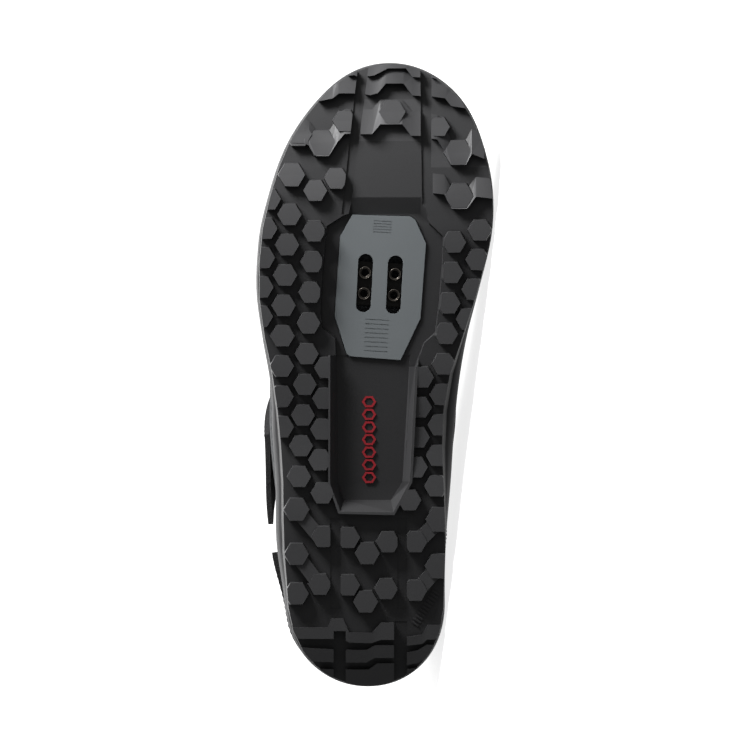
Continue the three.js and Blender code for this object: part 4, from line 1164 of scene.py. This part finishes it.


# rubber whose colour is mixed from dark to color by painted shade between the lugs and painted
# highlights on their edges
RUBBER = Finish("rubber_black", (0.1, 0.1, 0.104), (0.009, 0.009, 0.0096), 0.52, 0.45, 0.045,
                specular=0.3, painted_light=True)
FOAM = Finish("foam_grey", (0.036, 0.036, 0.038), (0.026, 0.026, 0.0275), 0.6, 0.7, 0.06,
              specular=0.35)
PLATE = Finish("glass_nylon_grey", (0.165, 0.18, 0.188), (0.14, 0.154, 0.161), 0.5, 0.35, 0.03,
               specular=0.3)
STEEL = Finish("steel_dark", (0.018, 0.017, 0.015), (0.01, 0.009, 0.008), 0.4, 0.4, 0.01,
               metallic=0.6)
RIM = Finish("steel_rim", (0.16, 0.14, 0.12), (0.1, 0.09, 0.08), 0.35, 0.4, 0.01, metallic=0.8)
MESH = Finish("mesh_melange", (0.085, 0.088, 0.094), (0.012, 0.012, 0.013), 0.85, 0.35, 0.08,
              weave=1.35, weave_bump=0.3, sheen=0.06, specular=0.2)
OVERLAY = Finish("coated_cloth", (0.02, 0.02, 0.021), (0.012, 0.012, 0.013), 0.48, 0.4, 0.05,
                 weave=0.6, weave_bump=0.05, specular=0.4)
LINING = Finish("lining_knit", (0.04, 0.04, 0.043), (0.016, 0.016, 0.018), 0.95, 0.5, 0.1,
                weave=0.9, weave_bump=0.15, sheen=0.1, specular=0.2)
WEBBING = Finish("webbing_black", (0.022, 0.022, 0.023), (0.008, 0.008, 0.008), 0.75, 0.4, 0.08,
                 weave=0.8, weave_bump=0.2, sheen=0.05, specular=0.3)
BINDING = Finish("binding_tape", (0.02, 0.02, 0.021), (0.01, 0.01, 0.01), 0.7, 0.4, 0.08,
                 weave=0.6, weave_bump=0.1, sheen=0.05, specular=0.3)
THREAD = Finish("thread_grey", (0.09, 0.09, 0.095), (0.06, 0.06, 0.064), 0.6, 0.3, 0.02)
RED = Finish("red_inlay", (0.36, 0.01, 0.02), (0.28, 0.008, 0.015), 0.5, 0.6, 0.02)
FLOOR = Finish("floor_white", (0.55, 0.55, 0.55), (0.54, 0.54, 0.54), 0.8, 8, 0.0, specular=0.1,
               glow=0.8)


def finished(obj: bpy.types.Object, finish: Finish, body: str) -> bpy.types.Object:
    """Gives a piece its material and the body that it rides on.

    Args:
        obj: the piece.
        finish: its finish.
        body: the body.

    Returns:
        The same piece.
    """
    obj.data.materials.clear()
    obj.data.materials.append(finish.material())
    for face in obj.data.polygons:
        face.material_index = 0
    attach(obj, body)
    log.info("%s: %d faces", obj.name, len(obj.data.polygons))
    return obj


@dataclass
class Sole:
    """Outsole, midsole, cleat plate and nut plate.

    Attributes:
        maker: makes the meshes.
        shape: the sole's heights and edges.
        last: the last that hollows the midsole.
        edge_highlight: how light the painted highlight on a rounded edge is near the lug tips.
        low_edge_highlight: how light that painted highlight is lower down.
        edge_slope: least and greatest share of straight down in a rounded edge's normal.
        edge_slimness: greatest area of a face of such an edge over its outline squared.
        tick_width: width of an engraved line, in millimetres.
        tick_depth: height of the block that cuts it.
        hollow_depth: how far the hollow stays inside the last's surface.
        room: room over the cleat plate, from its middle along and across, and in height.
        room_across: middle of the room across the sole.
    """

    maker: Maker
    shape: SoleShape
    last: LastShape
    edge_highlight: float = 0.75
    low_edge_highlight: float = 0.3
    edge_slope: tuple[float, float] = (0.3, 0.97)
    edge_slimness: float = 0.022
    tick_width: float = 0.5
    tick_depth: float = 0.3
    hollow_depth: float = 1.2
    room: tuple[tuple[float, float], ...] = ((-42, 38), (-24, 28), (0, 16))
    room_across: float = 2.1

    def build(self) -> None:
        """Makes the pieces of the sole."""
        outsole = self.paint_shade_and_highlights(self.maker.dressed("tread", "outsole", 0.32))
        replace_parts(finished(outsole, RUBBER, "shoe"), "outsole")
        plate = self.maker.cut(self.maker.dressed("plate", "cleat_plate", 0.25), self.ticks())
        shade(edit(plate, lambda: bpy.ops.mesh.dissolve_limited(angle_limit=math.radians(1))), 30)
        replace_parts(finished(plate, PLATE, "shoe"), "cleat_plate")
        nut = self.maker.dressed("nut", "cleat_nut", 0.2)
        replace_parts(finished(nut, STEEL, "nut"), "cleat_nut")
        finished(self.rims(), RIM, "nut")
        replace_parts(finished(self.cup(), FOAM, "shoe"), "midsole")
        finished(self.inlay(), RED, "shoe")
        finished(self.paint_shade_and_highlights(self.ribs()), RUBBER, "shoe")

    def paint_shade_and_highlights(self, obj: bpy.types.Object) -> bpy.types.Object:
        """Paints light into the rubber as an attribute: lighter tips, painted highlights on rounded
        edges and painted shade on the floor between the lugs.

        Args:
            obj: a rubber piece.

        Returns:
            The same piece.
        """
        painted_shade_and_highlight = obj.data.attributes.new("painted_shade_and_highlight", "FLOAT", "CORNER")
        back = self.maker.placement.matrix.inverted()
        down = -self.maker.placement.matrix.col[2].to_3d().normalized()
        for face in obj.data.polygons:
            place = back @ face.center
            depth = (place.z - float(self.shape.ground(place.x))) / self.shape.s.lug_height
            # painted shade: the deeper a face lies below the lug tips, the darker it is coloured
            value = float(np.interp(depth, RUBBER_DEPTHS, PAINTED_SHADE_TONES))
            corners = [obj.data.vertices[i].co for i in face.vertices]
            around = sum((a - b).length for a, b in zip(corners, corners[1:] + corners[:1]))
            # painted highlight: narrow sloping faces of the rounded edges are coloured lighter
            sloping = self.edge_slope[0] < face.normal.dot(down) < self.edge_slope[1]
            if sloping and face.area < self.edge_slimness * around**2:
                value = self.edge_highlight if depth < 0.35 else self.low_edge_highlight
            for loop in face.loop_indices:
                painted_shade_and_highlight.data[loop].value = value
        return obj

    def on_plate(self, along: float, across: float, z: float) -> tuple[float, float, float]:
        """A place on the cleat plate, along and across its slots.

        Args:
            along: distance forwards from the middle of the slots.
            across: distance towards the medial side.
            z: height on the standing shoe.

        Returns:
            The place on the standing shoe, in millimetres.
        """
        s = self.shape.s
        turn = math.radians(s.plate_turn)
        x = s.plate_along * s.length + along * math.cos(turn) - across * math.sin(turn)
        y = s.plate_across * s.width + along * math.sin(turn) + across * math.cos(turn)
        return x, y, z

    def ticks(self) -> bpy.types.Object:
        """Engraved lines ahead of the slots and behind them, as one cutter.

        Returns:
            The finished mesh as one object.
        """
        made, s = [], self.shape.s
        for first, pitch, count, length in TICKS:
            for i in range(count):
                centre = self.on_plate(first + pitch * i, 0, s.plate_height)
                size = (self.tick_width, length, self.tick_depth)
                made.append(self.maker.block("tick", centre, size, s.plate_turn, 0))
        return self.maker.merged("ticks", made)

    def rims(self) -> bpy.types.Object:
        """Bright mouths of the four barrels, with two turns of thread inside each.

        Returns:
            The finished mesh as one object.
        """
        made, s = [], self.shape.s
        turn = np.linspace(0, 2 * np.pi, 24, endpoint=False)
        for along in (-s.barrel_pitch / 2, s.barrel_pitch / 2):
            for across in (-s.slot_pitch / 2, s.slot_pitch / 2):
                for radius, z, wire in BARREL_RINGS:
                    middle = np.array(self.on_plate(along, across, z))
                    circle = np.column_stack([np.cos(turn), np.sin(turn), 0 * turn]) * radius
                    made.append(self.maker.cord("rim", middle + circle, wire, True, 2))
        return self.maker.merged("barrel_rims", made)

    def inlay(self) -> bpy.types.Object:
        """Row of small hexagonal rings on the floor of the pocket.

        Returns:
            The finished mesh as one object.
        """
        turn = np.linspace(0, 2 * np.pi, 6, endpoint=False) + math.pi / 6
        made, s = [], InlaySizes()
        for x in np.linspace(s.first, s.last, s.count):
            for name, radius, grow in (("outer", s.outer, 0), ("inner", s.inner, 0.2)):
                y = s.across + radius * s.stretch * np.sin(turn)
                outline = np.column_stack([x + radius * np.cos(turn), y])
                low, high = s.floor - s.sunk - grow, s.floor + s.proud + grow
                made.append(self.maker.prism(name, outline, low, high, "z"))
            self.maker.cut(made[-2], made.pop())
        return self.maker.merged("inlay", made)

    def ribs(self) -> bpy.types.Object:
        """Diagonal row of small ribs beside the heel.

        Returns:
            The finished mesh as one object.
        """
        made, s = [], RibSizes()
        for share in np.linspace(0, 1, s.count):
            x, y = s.start[0] + s.run[0] * share, s.start[1] + s.run[1] * share
            z = float(self.shape.ground(x)) + self.shape.s.lug_height
            made.append(self.maker.block("rib", (x, y, z - 0.1), s.size, s.turn, 0.15))
        return self.maker.merged("heel_ribs", made)

    def cup(self) -> bpy.types.Object:
        """Midsole with its stepped side and a hollow that the upper sits in.

        Returns:
            The finished mesh as one object.
        """
        obj = self.blank("cup", 0)
        self.maker.cut(obj, self.maker.form("hollow", self.last.offset(-self.hollow_depth)))
        x, y = self.shape.s.plate_along * self.shape.s.length, self.room_across
        (rear, front), (left, right), (low, high) = self.room
        room = np.array([(x + rear, y + left), (x + front, y + left), (x + front, y + right),
                         (x + rear, y + right)])
        self.maker.cut(obj, self.maker.prism("room", room, low, high, "z"))
        return shade(obj, 35)

    def blank(self, name: str, clearance: float) -> bpy.types.Object:
        """Solid form of the midsole, grown by a clearance.

        Args:
            name: name of the new object.
            clearance: how much it is grown, in millimetres.

        Returns:
            The closed form.
        """
        rings = []
        for up, flare, inset in MIDSOLE_SIDE:
            def height(x: np.ndarray, up: float = up) -> np.ndarray:
                """Height of this ring."""
                low = self.shape.rubber_top(x) + 0.05
                return low + (self.shape.rim(x) - low) * up + (clearance if up == 1 else 0)
            rings.append(self.shape.ring(flare, inset - clearance, height, 90))
        return self.maker.form(name, np.array(rings))


@dataclass
class Upper:
    """The upper with its overlays, tongue, straps and trims.

    Attributes:
        maker: makes the meshes.
        sole: the sole that the overlays end at.
        last: the last that the upper is drawn over.
        s: main sizes of the upper.
        lining_depth: how far inside the outer surface the lining starts, in millimetres.
        binding_step: distance between the points of the binding.
        binding_proud: how far the binding stands off the wall.
        loop_place: place of the pull loop along, aside and up, in shares.
        loop_size: depth, height and half the width of the pull loop.
        loop_thickness: thickness of the pull loop's webbing.
        throat_seam_from: start of the throat's seams, in shares of the sole's length.
        strap_seam_share: distance of a seam from the strap's edge, in shares of its width.
        strap_seam_end: end of a seam, in shares of the strap's length.
        far: reach of a cutter beyond the sides of the shoe.
    """

    maker: Maker
    sole: Sole
    last: LastShape
    s: UpperSizes
    lining_depth: float = 1.2
    binding_step: float = 2.5
    binding_proud: float = 0.45
    loop_place: tuple[float, float, float] = (0.045, -0.045, 0.615)
    loop_size: tuple[float, float, float] = (5.2, 7, 5.5)
    loop_thickness: float = 1.3
    throat_seam_from: float = 0.39
    strap_seam_share: float = 0.09
    strap_seam_end: float = 0.985
    far: float = 111

    @property
    def length(self) -> float:
        """Length of the sole, in millimetres."""
        return self.last.sole.s.length

    def build(self) -> None:
        """Makes the pieces of the upper."""
        shell = finished(self.shell(), MESH, "shoe")
        self.line_inside(shell)
        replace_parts(shell, "upper")
        cap = self.overlay("toe_cap_skin", TOE_CAP)
        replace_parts(finished(cap, OVERLAY, "shoe"), "toe_cap")
        counter = self.overlay("heel_counter_skin", HEEL_COUNTER)
        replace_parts(finished(counter, OVERLAY, "shoe"), "heel_counter")
        tongue = finished(self.tongue(), LINING, "shoe")
        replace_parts(tongue, "tongue")
        insole = self.maker.dressed("sock", "insole", 0.3)
        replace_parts(finished(insole, LINING, "shoe"), "insole")
        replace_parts(finished(self.instep_strap(), WEBBING, "shoe"), "instep_strap")
        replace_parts(finished(self.heel_strap(), WEBBING, "shoe"), "heel_strap")
        finished(self.binding(), BINDING, "shoe")
        finished(self.pull_loop(), WEBBING, "shoe")
        for row in self.seams():
            finished(row, THREAD, "shoe")

    def line_inside(self, shell: bpy.types.Object) -> None:
        """Gives the faces inside the shell the lining's material.

        Args:
            shell: the hollow upper.
        """
        shell.data.materials.append(LINING.material())
        surface = Surface(self.last.offset(self.last.creases())).tree
        back = self.maker.placement.matrix.inverted()
        for face in shell.data.polygons:
            _, _, _, distance = surface.find_nearest(back @ face.center)
            face.material_index = int(distance > self.lining_depth)

    def edge_path(self) -> Line:
        """Closed line round the collar and the throat, on the outside of the upper.

        Returns:
            Points along the line and their normals.
        """
        surface = Surface(self.last.offset(self.last.creases()))
        line = curve_through(self.side_points(COLLAR_LINE), 80)
        lateral, lateral_out = surface.side(line, Side.LATERAL)
        medial, medial_out = surface.side(line, Side.MEDIAL)
        plan, other = self.throat(1), self.throat(2)
        near = lateral[:, 1] < np.interp(lateral[:, 0], plan[:, 0], plan[:, 1])
        far = medial[:, 1] > np.interp(medial[:, 0], other[:, 0], other[:, 1])
        lateral, lateral_out = lateral[near], lateral_out[near]
        medial, medial_out = medial[far], medial_out[far]
        front, front_out = surface.top(plan[plan[:, 0] > lateral[-1, 0] + 1])
        back, back_out = surface.top(other[other[:, 0] > medial[-1, 0] + 1][::-1])
        path = np.vstack([lateral, front, back, medial[::-1]])
        facing = np.vstack([lateral_out, front_out, back_out, medial_out[::-1]])
        return evened(path, facing, self.binding_step)

    def binding(self) -> bpy.types.Object:
        """Soft rolled binding round the collar and the throat.

        Returns:
            The finished mesh as one object.
        """
        path, facing = self.edge_path()
        wall = self.last.wall(path)
        middle = path - facing * (wall / 2)[:, None]
        for _ in range(3):
            middle = (np.roll(middle, 1, axis=0) + 2 * middle + np.roll(middle, -1, axis=0)) / 4
        return self.maker.cord("collar_binding", middle, wall / 2 + self.binding_proud, True)

    def pull_loop(self) -> bpy.types.Object:
        """Webbing loop that stands up from the back of the collar.

        Returns:
            The finished mesh as one object.
        """
        along, aside, up = self.loop_place
        depth, height, half_width = self.loop_size
        turn = np.linspace(-0.15 * math.pi, 1.15 * math.pi, 24)
        grids = []
        for reach in (self.loop_thickness / 2, -self.loop_thickness / 2):
            x = along * self.length - np.cos(turn) * (depth + reach)
            z = self.last.height_at(up) + np.sin(turn) * (height + reach)
            lines = [np.column_stack([x, np.full(len(x), aside * self.s.width + y), z])
                     for y in np.linspace(-half_width, half_width, 4)]
            grids.append(np.array(lines))
        outer, inner = (grid.transpose(1, 0, 2) for grid in grids)
        return self.maker.pillow("pull_loop", outer, inner)

    def seams(self) -> list[bpy.types.Object]:
        """Rows of stitches round the openings, on the overlays and along the straps.

        Returns:
            The rows, each one object.
        """
        last, made = self.last, []
        cloth = Surface(last.offset(last.creases()))
        cover = Surface(last.offset(self.s.seam + self.s.overlay))
        for side in Side:
            line = curve_through(self.side_points(COLLAR_LINE), 40)
            points, out = cloth.side(line - (0, 6.5), side)
            plan = self.throat(1 if side is Side.LATERAL else 2) + (0, side.value * 4.5)
            edge = np.interp(points[:, 0], plan[:, 0], plan[:, 1] * side.value)
            keep, name = points[:, 1] * side.value > edge, side.name.lower()
            made.append(self.maker.stitches(f"collar_seam_{name}", points[keep], out[keep]))
            points, out = cloth.top(plan[plan[:, 0] > self.throat_seam_from * self.length])
            made.append(self.maker.stitches(f"throat_seam_{name}", points, out))
            edge = curve_through(self.side_points(HEEL_COUNTER[1:4]), 30) - (1.2, 2.4)
            points, out = cover.side(edge, side)
            made.append(self.maker.stitches(f"counter_seam_{name}", points, out))
        rows = np.array(TOE_CAP)[[0, 4, 3]]
        height = [last.height_at(up) for up in rows[:, 1]]
        for i, inset in enumerate((2.2, 4.4)):
            def place_at(z: float, inset: float = inset) -> float:
                """Where the seam is at a height."""
                return float(np.interp(z, height, rows[:, 0] * self.length)) + inset
            points, out = cover.over(place_at, last.height_at(0.05), np.arange(4, 177, 2))
            made.append(self.maker.stitches(f"cap_seam_{i}", points, out))
        made += self.strap_seams()
        return made

    def strap_seams(self) -> list[bpy.types.Object]:
        """Stitches along both edges of the instep strap and the heel strap.

        Returns:
            The rows, each one object.
        """
        made = []
        for name, grid, lines in (("instep", self.instep_grid(), self.instep_lines()),
                                  ("heel", self.heel_grid(), self.heel_lines())):
            surface = Surface(grid)
            for i, (line, side) in enumerate(lines):
                points, out = surface.side(line, side)
                made.append(self.maker.stitches(f"{name}_strap_seam_{i}", points, out))
        return made

    def skin(self, name: str, distance: float | np.ndarray) -> bpy.types.Object:
        """Closed form of the last moved out by a distance."""
        return self.maker.form(name, self.last.offset(distance))

    def side_points(self, rows: np.ndarray | list[tuple[float, float]]) -> np.ndarray:
        """Side-view outline from shares of the sole's length and the last's height."""
        return np.array([(along * self.length, self.last.height_at(up)) for along, up in rows])

    def collar(self) -> np.ndarray:
        """Collar line in the side view, in millimetres."""
        return curve_through(self.side_points(COLLAR_LINE), 12)

    def throat(self, column: int) -> np.ndarray:
        """One side of the throat in plan, in millimetres."""
        scale = (self.length, self.s.width)
        return curve_through(THROAT_LINE[:, [0, column]] * scale, 10)

    def shell(self) -> bpy.types.Object:
        """Hollow upper, open at the collar and the throat.

        Returns:
            The finished mesh as one object.
        """
        obj = self.skin("upper_shell", self.last.creases())
        self.maker.cut(obj, self.skin("inside", -self.last.wall(self.last.grid)))
        line = self.collar()
        top = self.last.height_at(1.5)
        outline = np.vstack([line, [(line[-1, 0] + 0.02 * self.length, top), (line[0, 0], top)]])
        self.maker.cut(obj, self.maker.prism("collar_cut", outline, -self.far, self.far, "y"))
        plan = np.vstack([self.throat(1), self.throat(2)[::-1]])
        low, high = self.last.height_at(0.3), 2 * top
        self.maker.cut(obj, self.maker.prism("throat_cut", plan, low, high, "z"))
        return shade(obj, 50)

    def layer(self, name: str, inner: float, outer: float,
              lift: float | np.ndarray = 0.0) -> bpy.types.Object:
        """Sheet over the last between two distances, which may stand off where lift says so."""
        obj = self.skin(name, outer + lift)
        return self.maker.cut(obj, self.skin("under", inner + lift))

    def overlay(self, name: str, rows: list[tuple[float, float]]) -> bpy.types.Object:
        """Thin overlay cut from a sheet over the last, above the midsole's rim.

        Args:
            name: name of the new object.
            rows: its outline in the side view, in shares.

        Returns:
            The overlay.
        """
        obj = self.layer(name, 0.05, self.s.seam + self.s.overlay)
        outline = self.side_points(rows)
        reach = self.maker.prism("reach", outline, -self.far, self.far, "y")
        self.maker.cut(obj, reach, "INTERSECT")
        self.maker.cut(obj, self.sole.blank("below", 0.05))
        return self.maker.softened(obj, 0.3)

    def tongue(self) -> bpy.types.Object:
        """Padded tongue under the throat, crowned, with a rounded end and sewn channels.

        Returns:
            The finished mesh as one object.
        """
        s, share = self.s, np.linspace(0, 1, 46)
        places = s.tongue_start + (s.tongue_end - s.tongue_start) * share
        reach = share * s.tongue_length
        end = np.sqrt(np.clip(1 - (1 - np.minimum(reach / s.tongue_round, 1)) ** 2, 0.3, 1))
        widths = np.column_stack([np.interp(share, TONGUE_WIDTHS[:, 0], TONGUE_WIDTHS[:, c]) * end
                                  for c in (1, 2)])
        points, facing = self.last.patch(places, widths, 29)
        across = np.linspace(-1, 1, 29)
        half = 0.35 + 1.55 * np.sqrt(1 - across[None, :] ** 6) * np.sqrt(end)[:, None]
        for channel in TONGUE_CHANNELS:
            groove = 0.75 * np.exp(-((across[None, :] - channel) / 0.06) ** 2)
            half -= groove * ease(share, 0.1, 0.2)[:, None]
        middle = self.last.wall(points) + self.s.seam + 2
        outer = points - facing * (middle - half)[..., None]
        inner = points - facing * (middle + half)[..., None]
        return self.maker.pillow("tongue_pad", outer, inner)

    def strip(self, low_end: float) -> np.ndarray:
        """Strip across the instep in the side view, down to a height.

        Args:
            low_end: height of its lower end, in millimetres.

        Returns:
            The four corners of the strip.
        """
        s, slope = self.s, math.radians(self.s.instep_strap_slope)
        down = np.array([-math.cos(slope), -math.sin(slope)])
        aside = np.array([-down[1], down[0]]) * s.instep_strap_width / 2
        ridge = self.side_points([(s.instep_strap_along, s.instep_strap_up)])[0]
        start = ridge - down * s.height / 2
        end = ridge + down * (ridge[1] - low_end) / -down[1]
        half = s.instep_strap_width / 2 / math.sin(slope)
        return np.array([start - aside, start + aside,
                         (end[0] + half, low_end), (end[0] - half, low_end)])

    def instep_lift(self) -> np.ndarray:
        """How far the free end of the instep strap stands off, over the grid.

        Returns:
            A distance for each point of the grid, in millimetres.
        """
        grid, low = self.last.grid, self.last.height_at(self.s.instep_strap_low)
        down = 1 - ease(grid[..., 2], low - self.s.strap, low + 0.3 * self.s.height)
        rear = 1 - ease(grid[..., 0], 0.24 * self.length, 0.4 * self.length)
        return np.where(grid[..., 1] < 0, self.s.instep_strap_lift * down * rear, 0)

    def instep_grid(self) -> np.ndarray:
        """Outer surface of the instep strap."""
        return self.last.offset(self.s.seam + self.s.strap + self.instep_lift())

    def instep_lines(self) -> list[tuple[np.ndarray, Side]]:
        """Side-view lines a little inside the edges of the instep strap, on both sides.

        Returns:
            Each line with the side of the foot that it is on.
        """
        made = []
        for side, up in ((Side.LATERAL, self.s.instep_strap_low),
                         (Side.MEDIAL, self.s.instep_strap_medial)):
            corners = self.strip(self.last.height_at(up))
            for a, b, c, d in ((0, 3, 1, 2), (1, 2, 0, 3)):
                start = corners[a] + (corners[c] - corners[a]) * self.strap_seam_share
                end = corners[b] + (corners[d] - corners[b]) * self.strap_seam_share
                shares = np.linspace(0, self.strap_seam_end, 120)[:, None]
                made.append((start + (end - start) * shares, side))
        return made

    def instep_strap(self) -> bpy.types.Object:
        """Strap over the instep, its free end on the lateral side.

        Returns:
            The finished mesh as one object.
        """
        s = self.s
        obj = self.layer("strap_over_instep", s.seam, s.seam + s.strap, self.instep_lift())
        low, high = (self.strip(self.last.height_at(up))
                     for up in (s.instep_strap_low, s.instep_strap_medial))
        reach = self.maker.prism("reach", low, -self.far, 1, "y")
        medial = self.maker.prism("medial", high, 0, self.far, "y")
        self.maker.cut(reach, medial, "UNION")
        self.maker.cut(obj, reach, "INTERSECT")
        return self.maker.softened(obj, 0.5)

    def heel_lift(self) -> np.ndarray:
        """How far the end of the heel strap stands off, over the grid.

        Returns:
            A distance for each point of the grid, in millimetres.
        """
        grid = self.last.grid
        end = self.s.heel_strap_end * self.length
        forward = ease(grid[..., 0], 0.12 * self.length, end)
        return np.where(grid[..., 1] < 0, self.s.heel_strap_lift * forward, 0)

    def heel_grid(self) -> np.ndarray:
        """Outer surface of the heel strap."""
        under = self.s.seam + self.s.overlay + self.s.seam
        return self.last.offset(under + self.s.strap + self.heel_lift())

    def heel_lines(self) -> list[tuple[np.ndarray, Side]]:
        """Side-view lines a little inside the edges of the heel strap.

        Returns:
            Each line with the side of the foot that it is on.
        """
        s, low = self.s, self.last.height_at(self.s.heel_strap_low)
        made = []
        for up in (2.0, s.heel_strap_width - 2.0):
            x = np.linspace(0.02 * self.length, 0.205 * self.length, 80)
            drop = s.heel_strap_drop * x / (s.heel_strap_end * self.length)
            made.append((np.column_stack([x, low + up - drop]), Side.LATERAL))
        return made

    def heel_strap(self) -> bpy.types.Object:
        """Narrow strap on the lateral side of the heel, its end standing off.

        Returns:
            The finished mesh as one object.
        """
        s, low = self.s, self.last.height_at(self.s.heel_strap_low)
        high, drop = low + s.heel_strap_width, s.heel_strap_drop
        last = s.heel_strap_end * self.length
        under = s.seam + s.overlay + s.seam
        obj = self.layer("strap_at_heel", under, under + s.strap, self.heel_lift())
        outline = np.array([(-50, low), (last, low - drop), (last, high - drop), (-50, high)])
        self.maker.cut(obj, self.maker.prism("reach", outline, -self.far, -6, "y"), "INTERSECT")
        return self.maker.softened(obj, 0.5)


@dataclass
class Studio:
    """Pale floor, soft lights and the camera of the photograph.

    Attributes:
        placement: the placement of the standing shoe.
        distance: distance of the camera, in metres.
        field: width of the picture at the shoe, in metres.
        sensor: width of the camera's sensor, in millimetres.
        middle: middle of the sole along its length, in millimetres.
        lamp_aim: height that the lamps are aimed at, in millimetres.
        lamps: name, place from the middle of the sole in metres, side and power of each lamp.
        world_from: directions between which the surroundings grow brighter.
        world_to: their strength at those two directions.
    """

    placement: Placement
    distance: float = 5.0
    field: float = 0.35025
    sensor: float = 36
    middle: float = 146.1
    lamp_aim: float = 10
    lamps: tuple[tuple, ...] = (
        ("key", (0.5, -0.36, -0.2), 0.24, 8.0), ("fill", (0.9, -0.2, -0.9), 0.8, 0.8),
        ("rear", (0.1, -0.9, 1.1), 0.9, 8),
    )
    world_from: tuple[float, float] = (-0.1, 0.75)
    world_to: tuple[float, float] = (0.2, 1.05)

    def build(self) -> None:
        """Makes the camera, the floor and the lights."""
        self.camera()
        self.floor()
        self.lights()

    def turned(self, direction: tuple[float, float, float]) -> Vector:
        """A direction on the standing shoe turned to the frame."""
        return (self.placement.matrix.to_3x3() @ Vector(direction)).normalized()

    def camera(self) -> None:
        """Looks straight at the tread, with the toe up and the medial side right."""
        target = self.placement.matrix @ Vector((self.middle, 0, 0))
        back, up = self.turned((0, 0, -1)), self.turned((1, 0, 0))
        right = up.cross(back)
        camera = added(bpy.ops.object.camera_add)
        camera.name = "photo_camera"
        turn = Matrix((right, up, back)).transposed().to_4x4()
        camera.matrix_world = Matrix.Translation(target + back * self.distance) @ turn
        camera.data.sensor_width = self.sensor
        camera.data.lens = self.sensor * self.distance / self.field
        camera.data.clip_start, camera.data.clip_end = 0.5, 60
        camera.data.dof.use_dof = False
        bpy.context.scene.camera = camera

    def floor(self) -> None:
        """Wide pale floor."""
        floor = added(bpy.ops.mesh.primitive_plane_add, size=60)
        floor.name = "floor"
        floor.data.materials.append(FLOOR.material())
        floor.visible_diffuse = False
        floor.visible_glossy = False

    def light(self, name: str, at: tuple[float, float, float], size: float, power: float) -> None:
        """Soft square lamp that is aimed at the middle of the sole.

        Args:
            name: name of the lamp.
            at: its place from the middle of the sole, in metres.
            size: its side, in metres.
            power: its power, in watts.
        """
        target = self.placement.matrix @ Vector((self.middle, 0, self.lamp_aim))
        offset = self.placement.matrix.to_3x3() @ (Vector(at) * 1000)
        lamp = added(bpy.ops.object.light_add, type="AREA", location=target + offset)
        lamp.name = name
        lamp.rotation_euler = (-offset).to_track_quat("-Z", "Y").to_euler()
        lamp.data.size = size
        lamp.data.energy = power
        lamp.visible_camera = False

    def lights(self) -> None:
        """Surroundings that are bright behind the shoe, a key lamp at the toe and a fill lamp."""
        world = bpy.data.worlds.new("studio")
        bpy.context.scene.world = world
        world.use_nodes = True
        tree = world.node_tree
        background = tree.nodes["Background"]
        background.inputs["Color"].default_value = (1, 1, 1, 1)
        heading = node(tree, "TexCoord").outputs["Generated"]
        depth = node(tree, "SeparateXYZ", {"Vector": heading}).outputs["Y"]
        strength = node(tree, "MapRange", {
            "Value": depth, "From Min": self.world_from[0], "From Max": self.world_from[1],
            "To Min": self.world_to[0], "To Max": self.world_to[1]})
        tree.links.new(strength.outputs["Result"], background.inputs["Strength"])
        bpy.context.scene.view_settings.view_transform = "Standard"
        for name, at, size, power in self.lamps:
            self.light(name, at, size, power)


def main() -> None:
    """Builds the studio and the shoe."""
    logging.basicConfig(level=logging.INFO, format="%(message)s")
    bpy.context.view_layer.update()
    placement = Placement(frame["record"])
    Studio(placement).build()
    sole_shape = SoleShape(SoleSizes())
    last = LastShape(sole_shape, UpperSizes())
    maker = Maker(placement)
    sole = Sole(maker, sole_shape, last)
    sole.build()
    Upper(maker, sole, last, UpperSizes()).build()


if __name__ == "__main__":
    main()
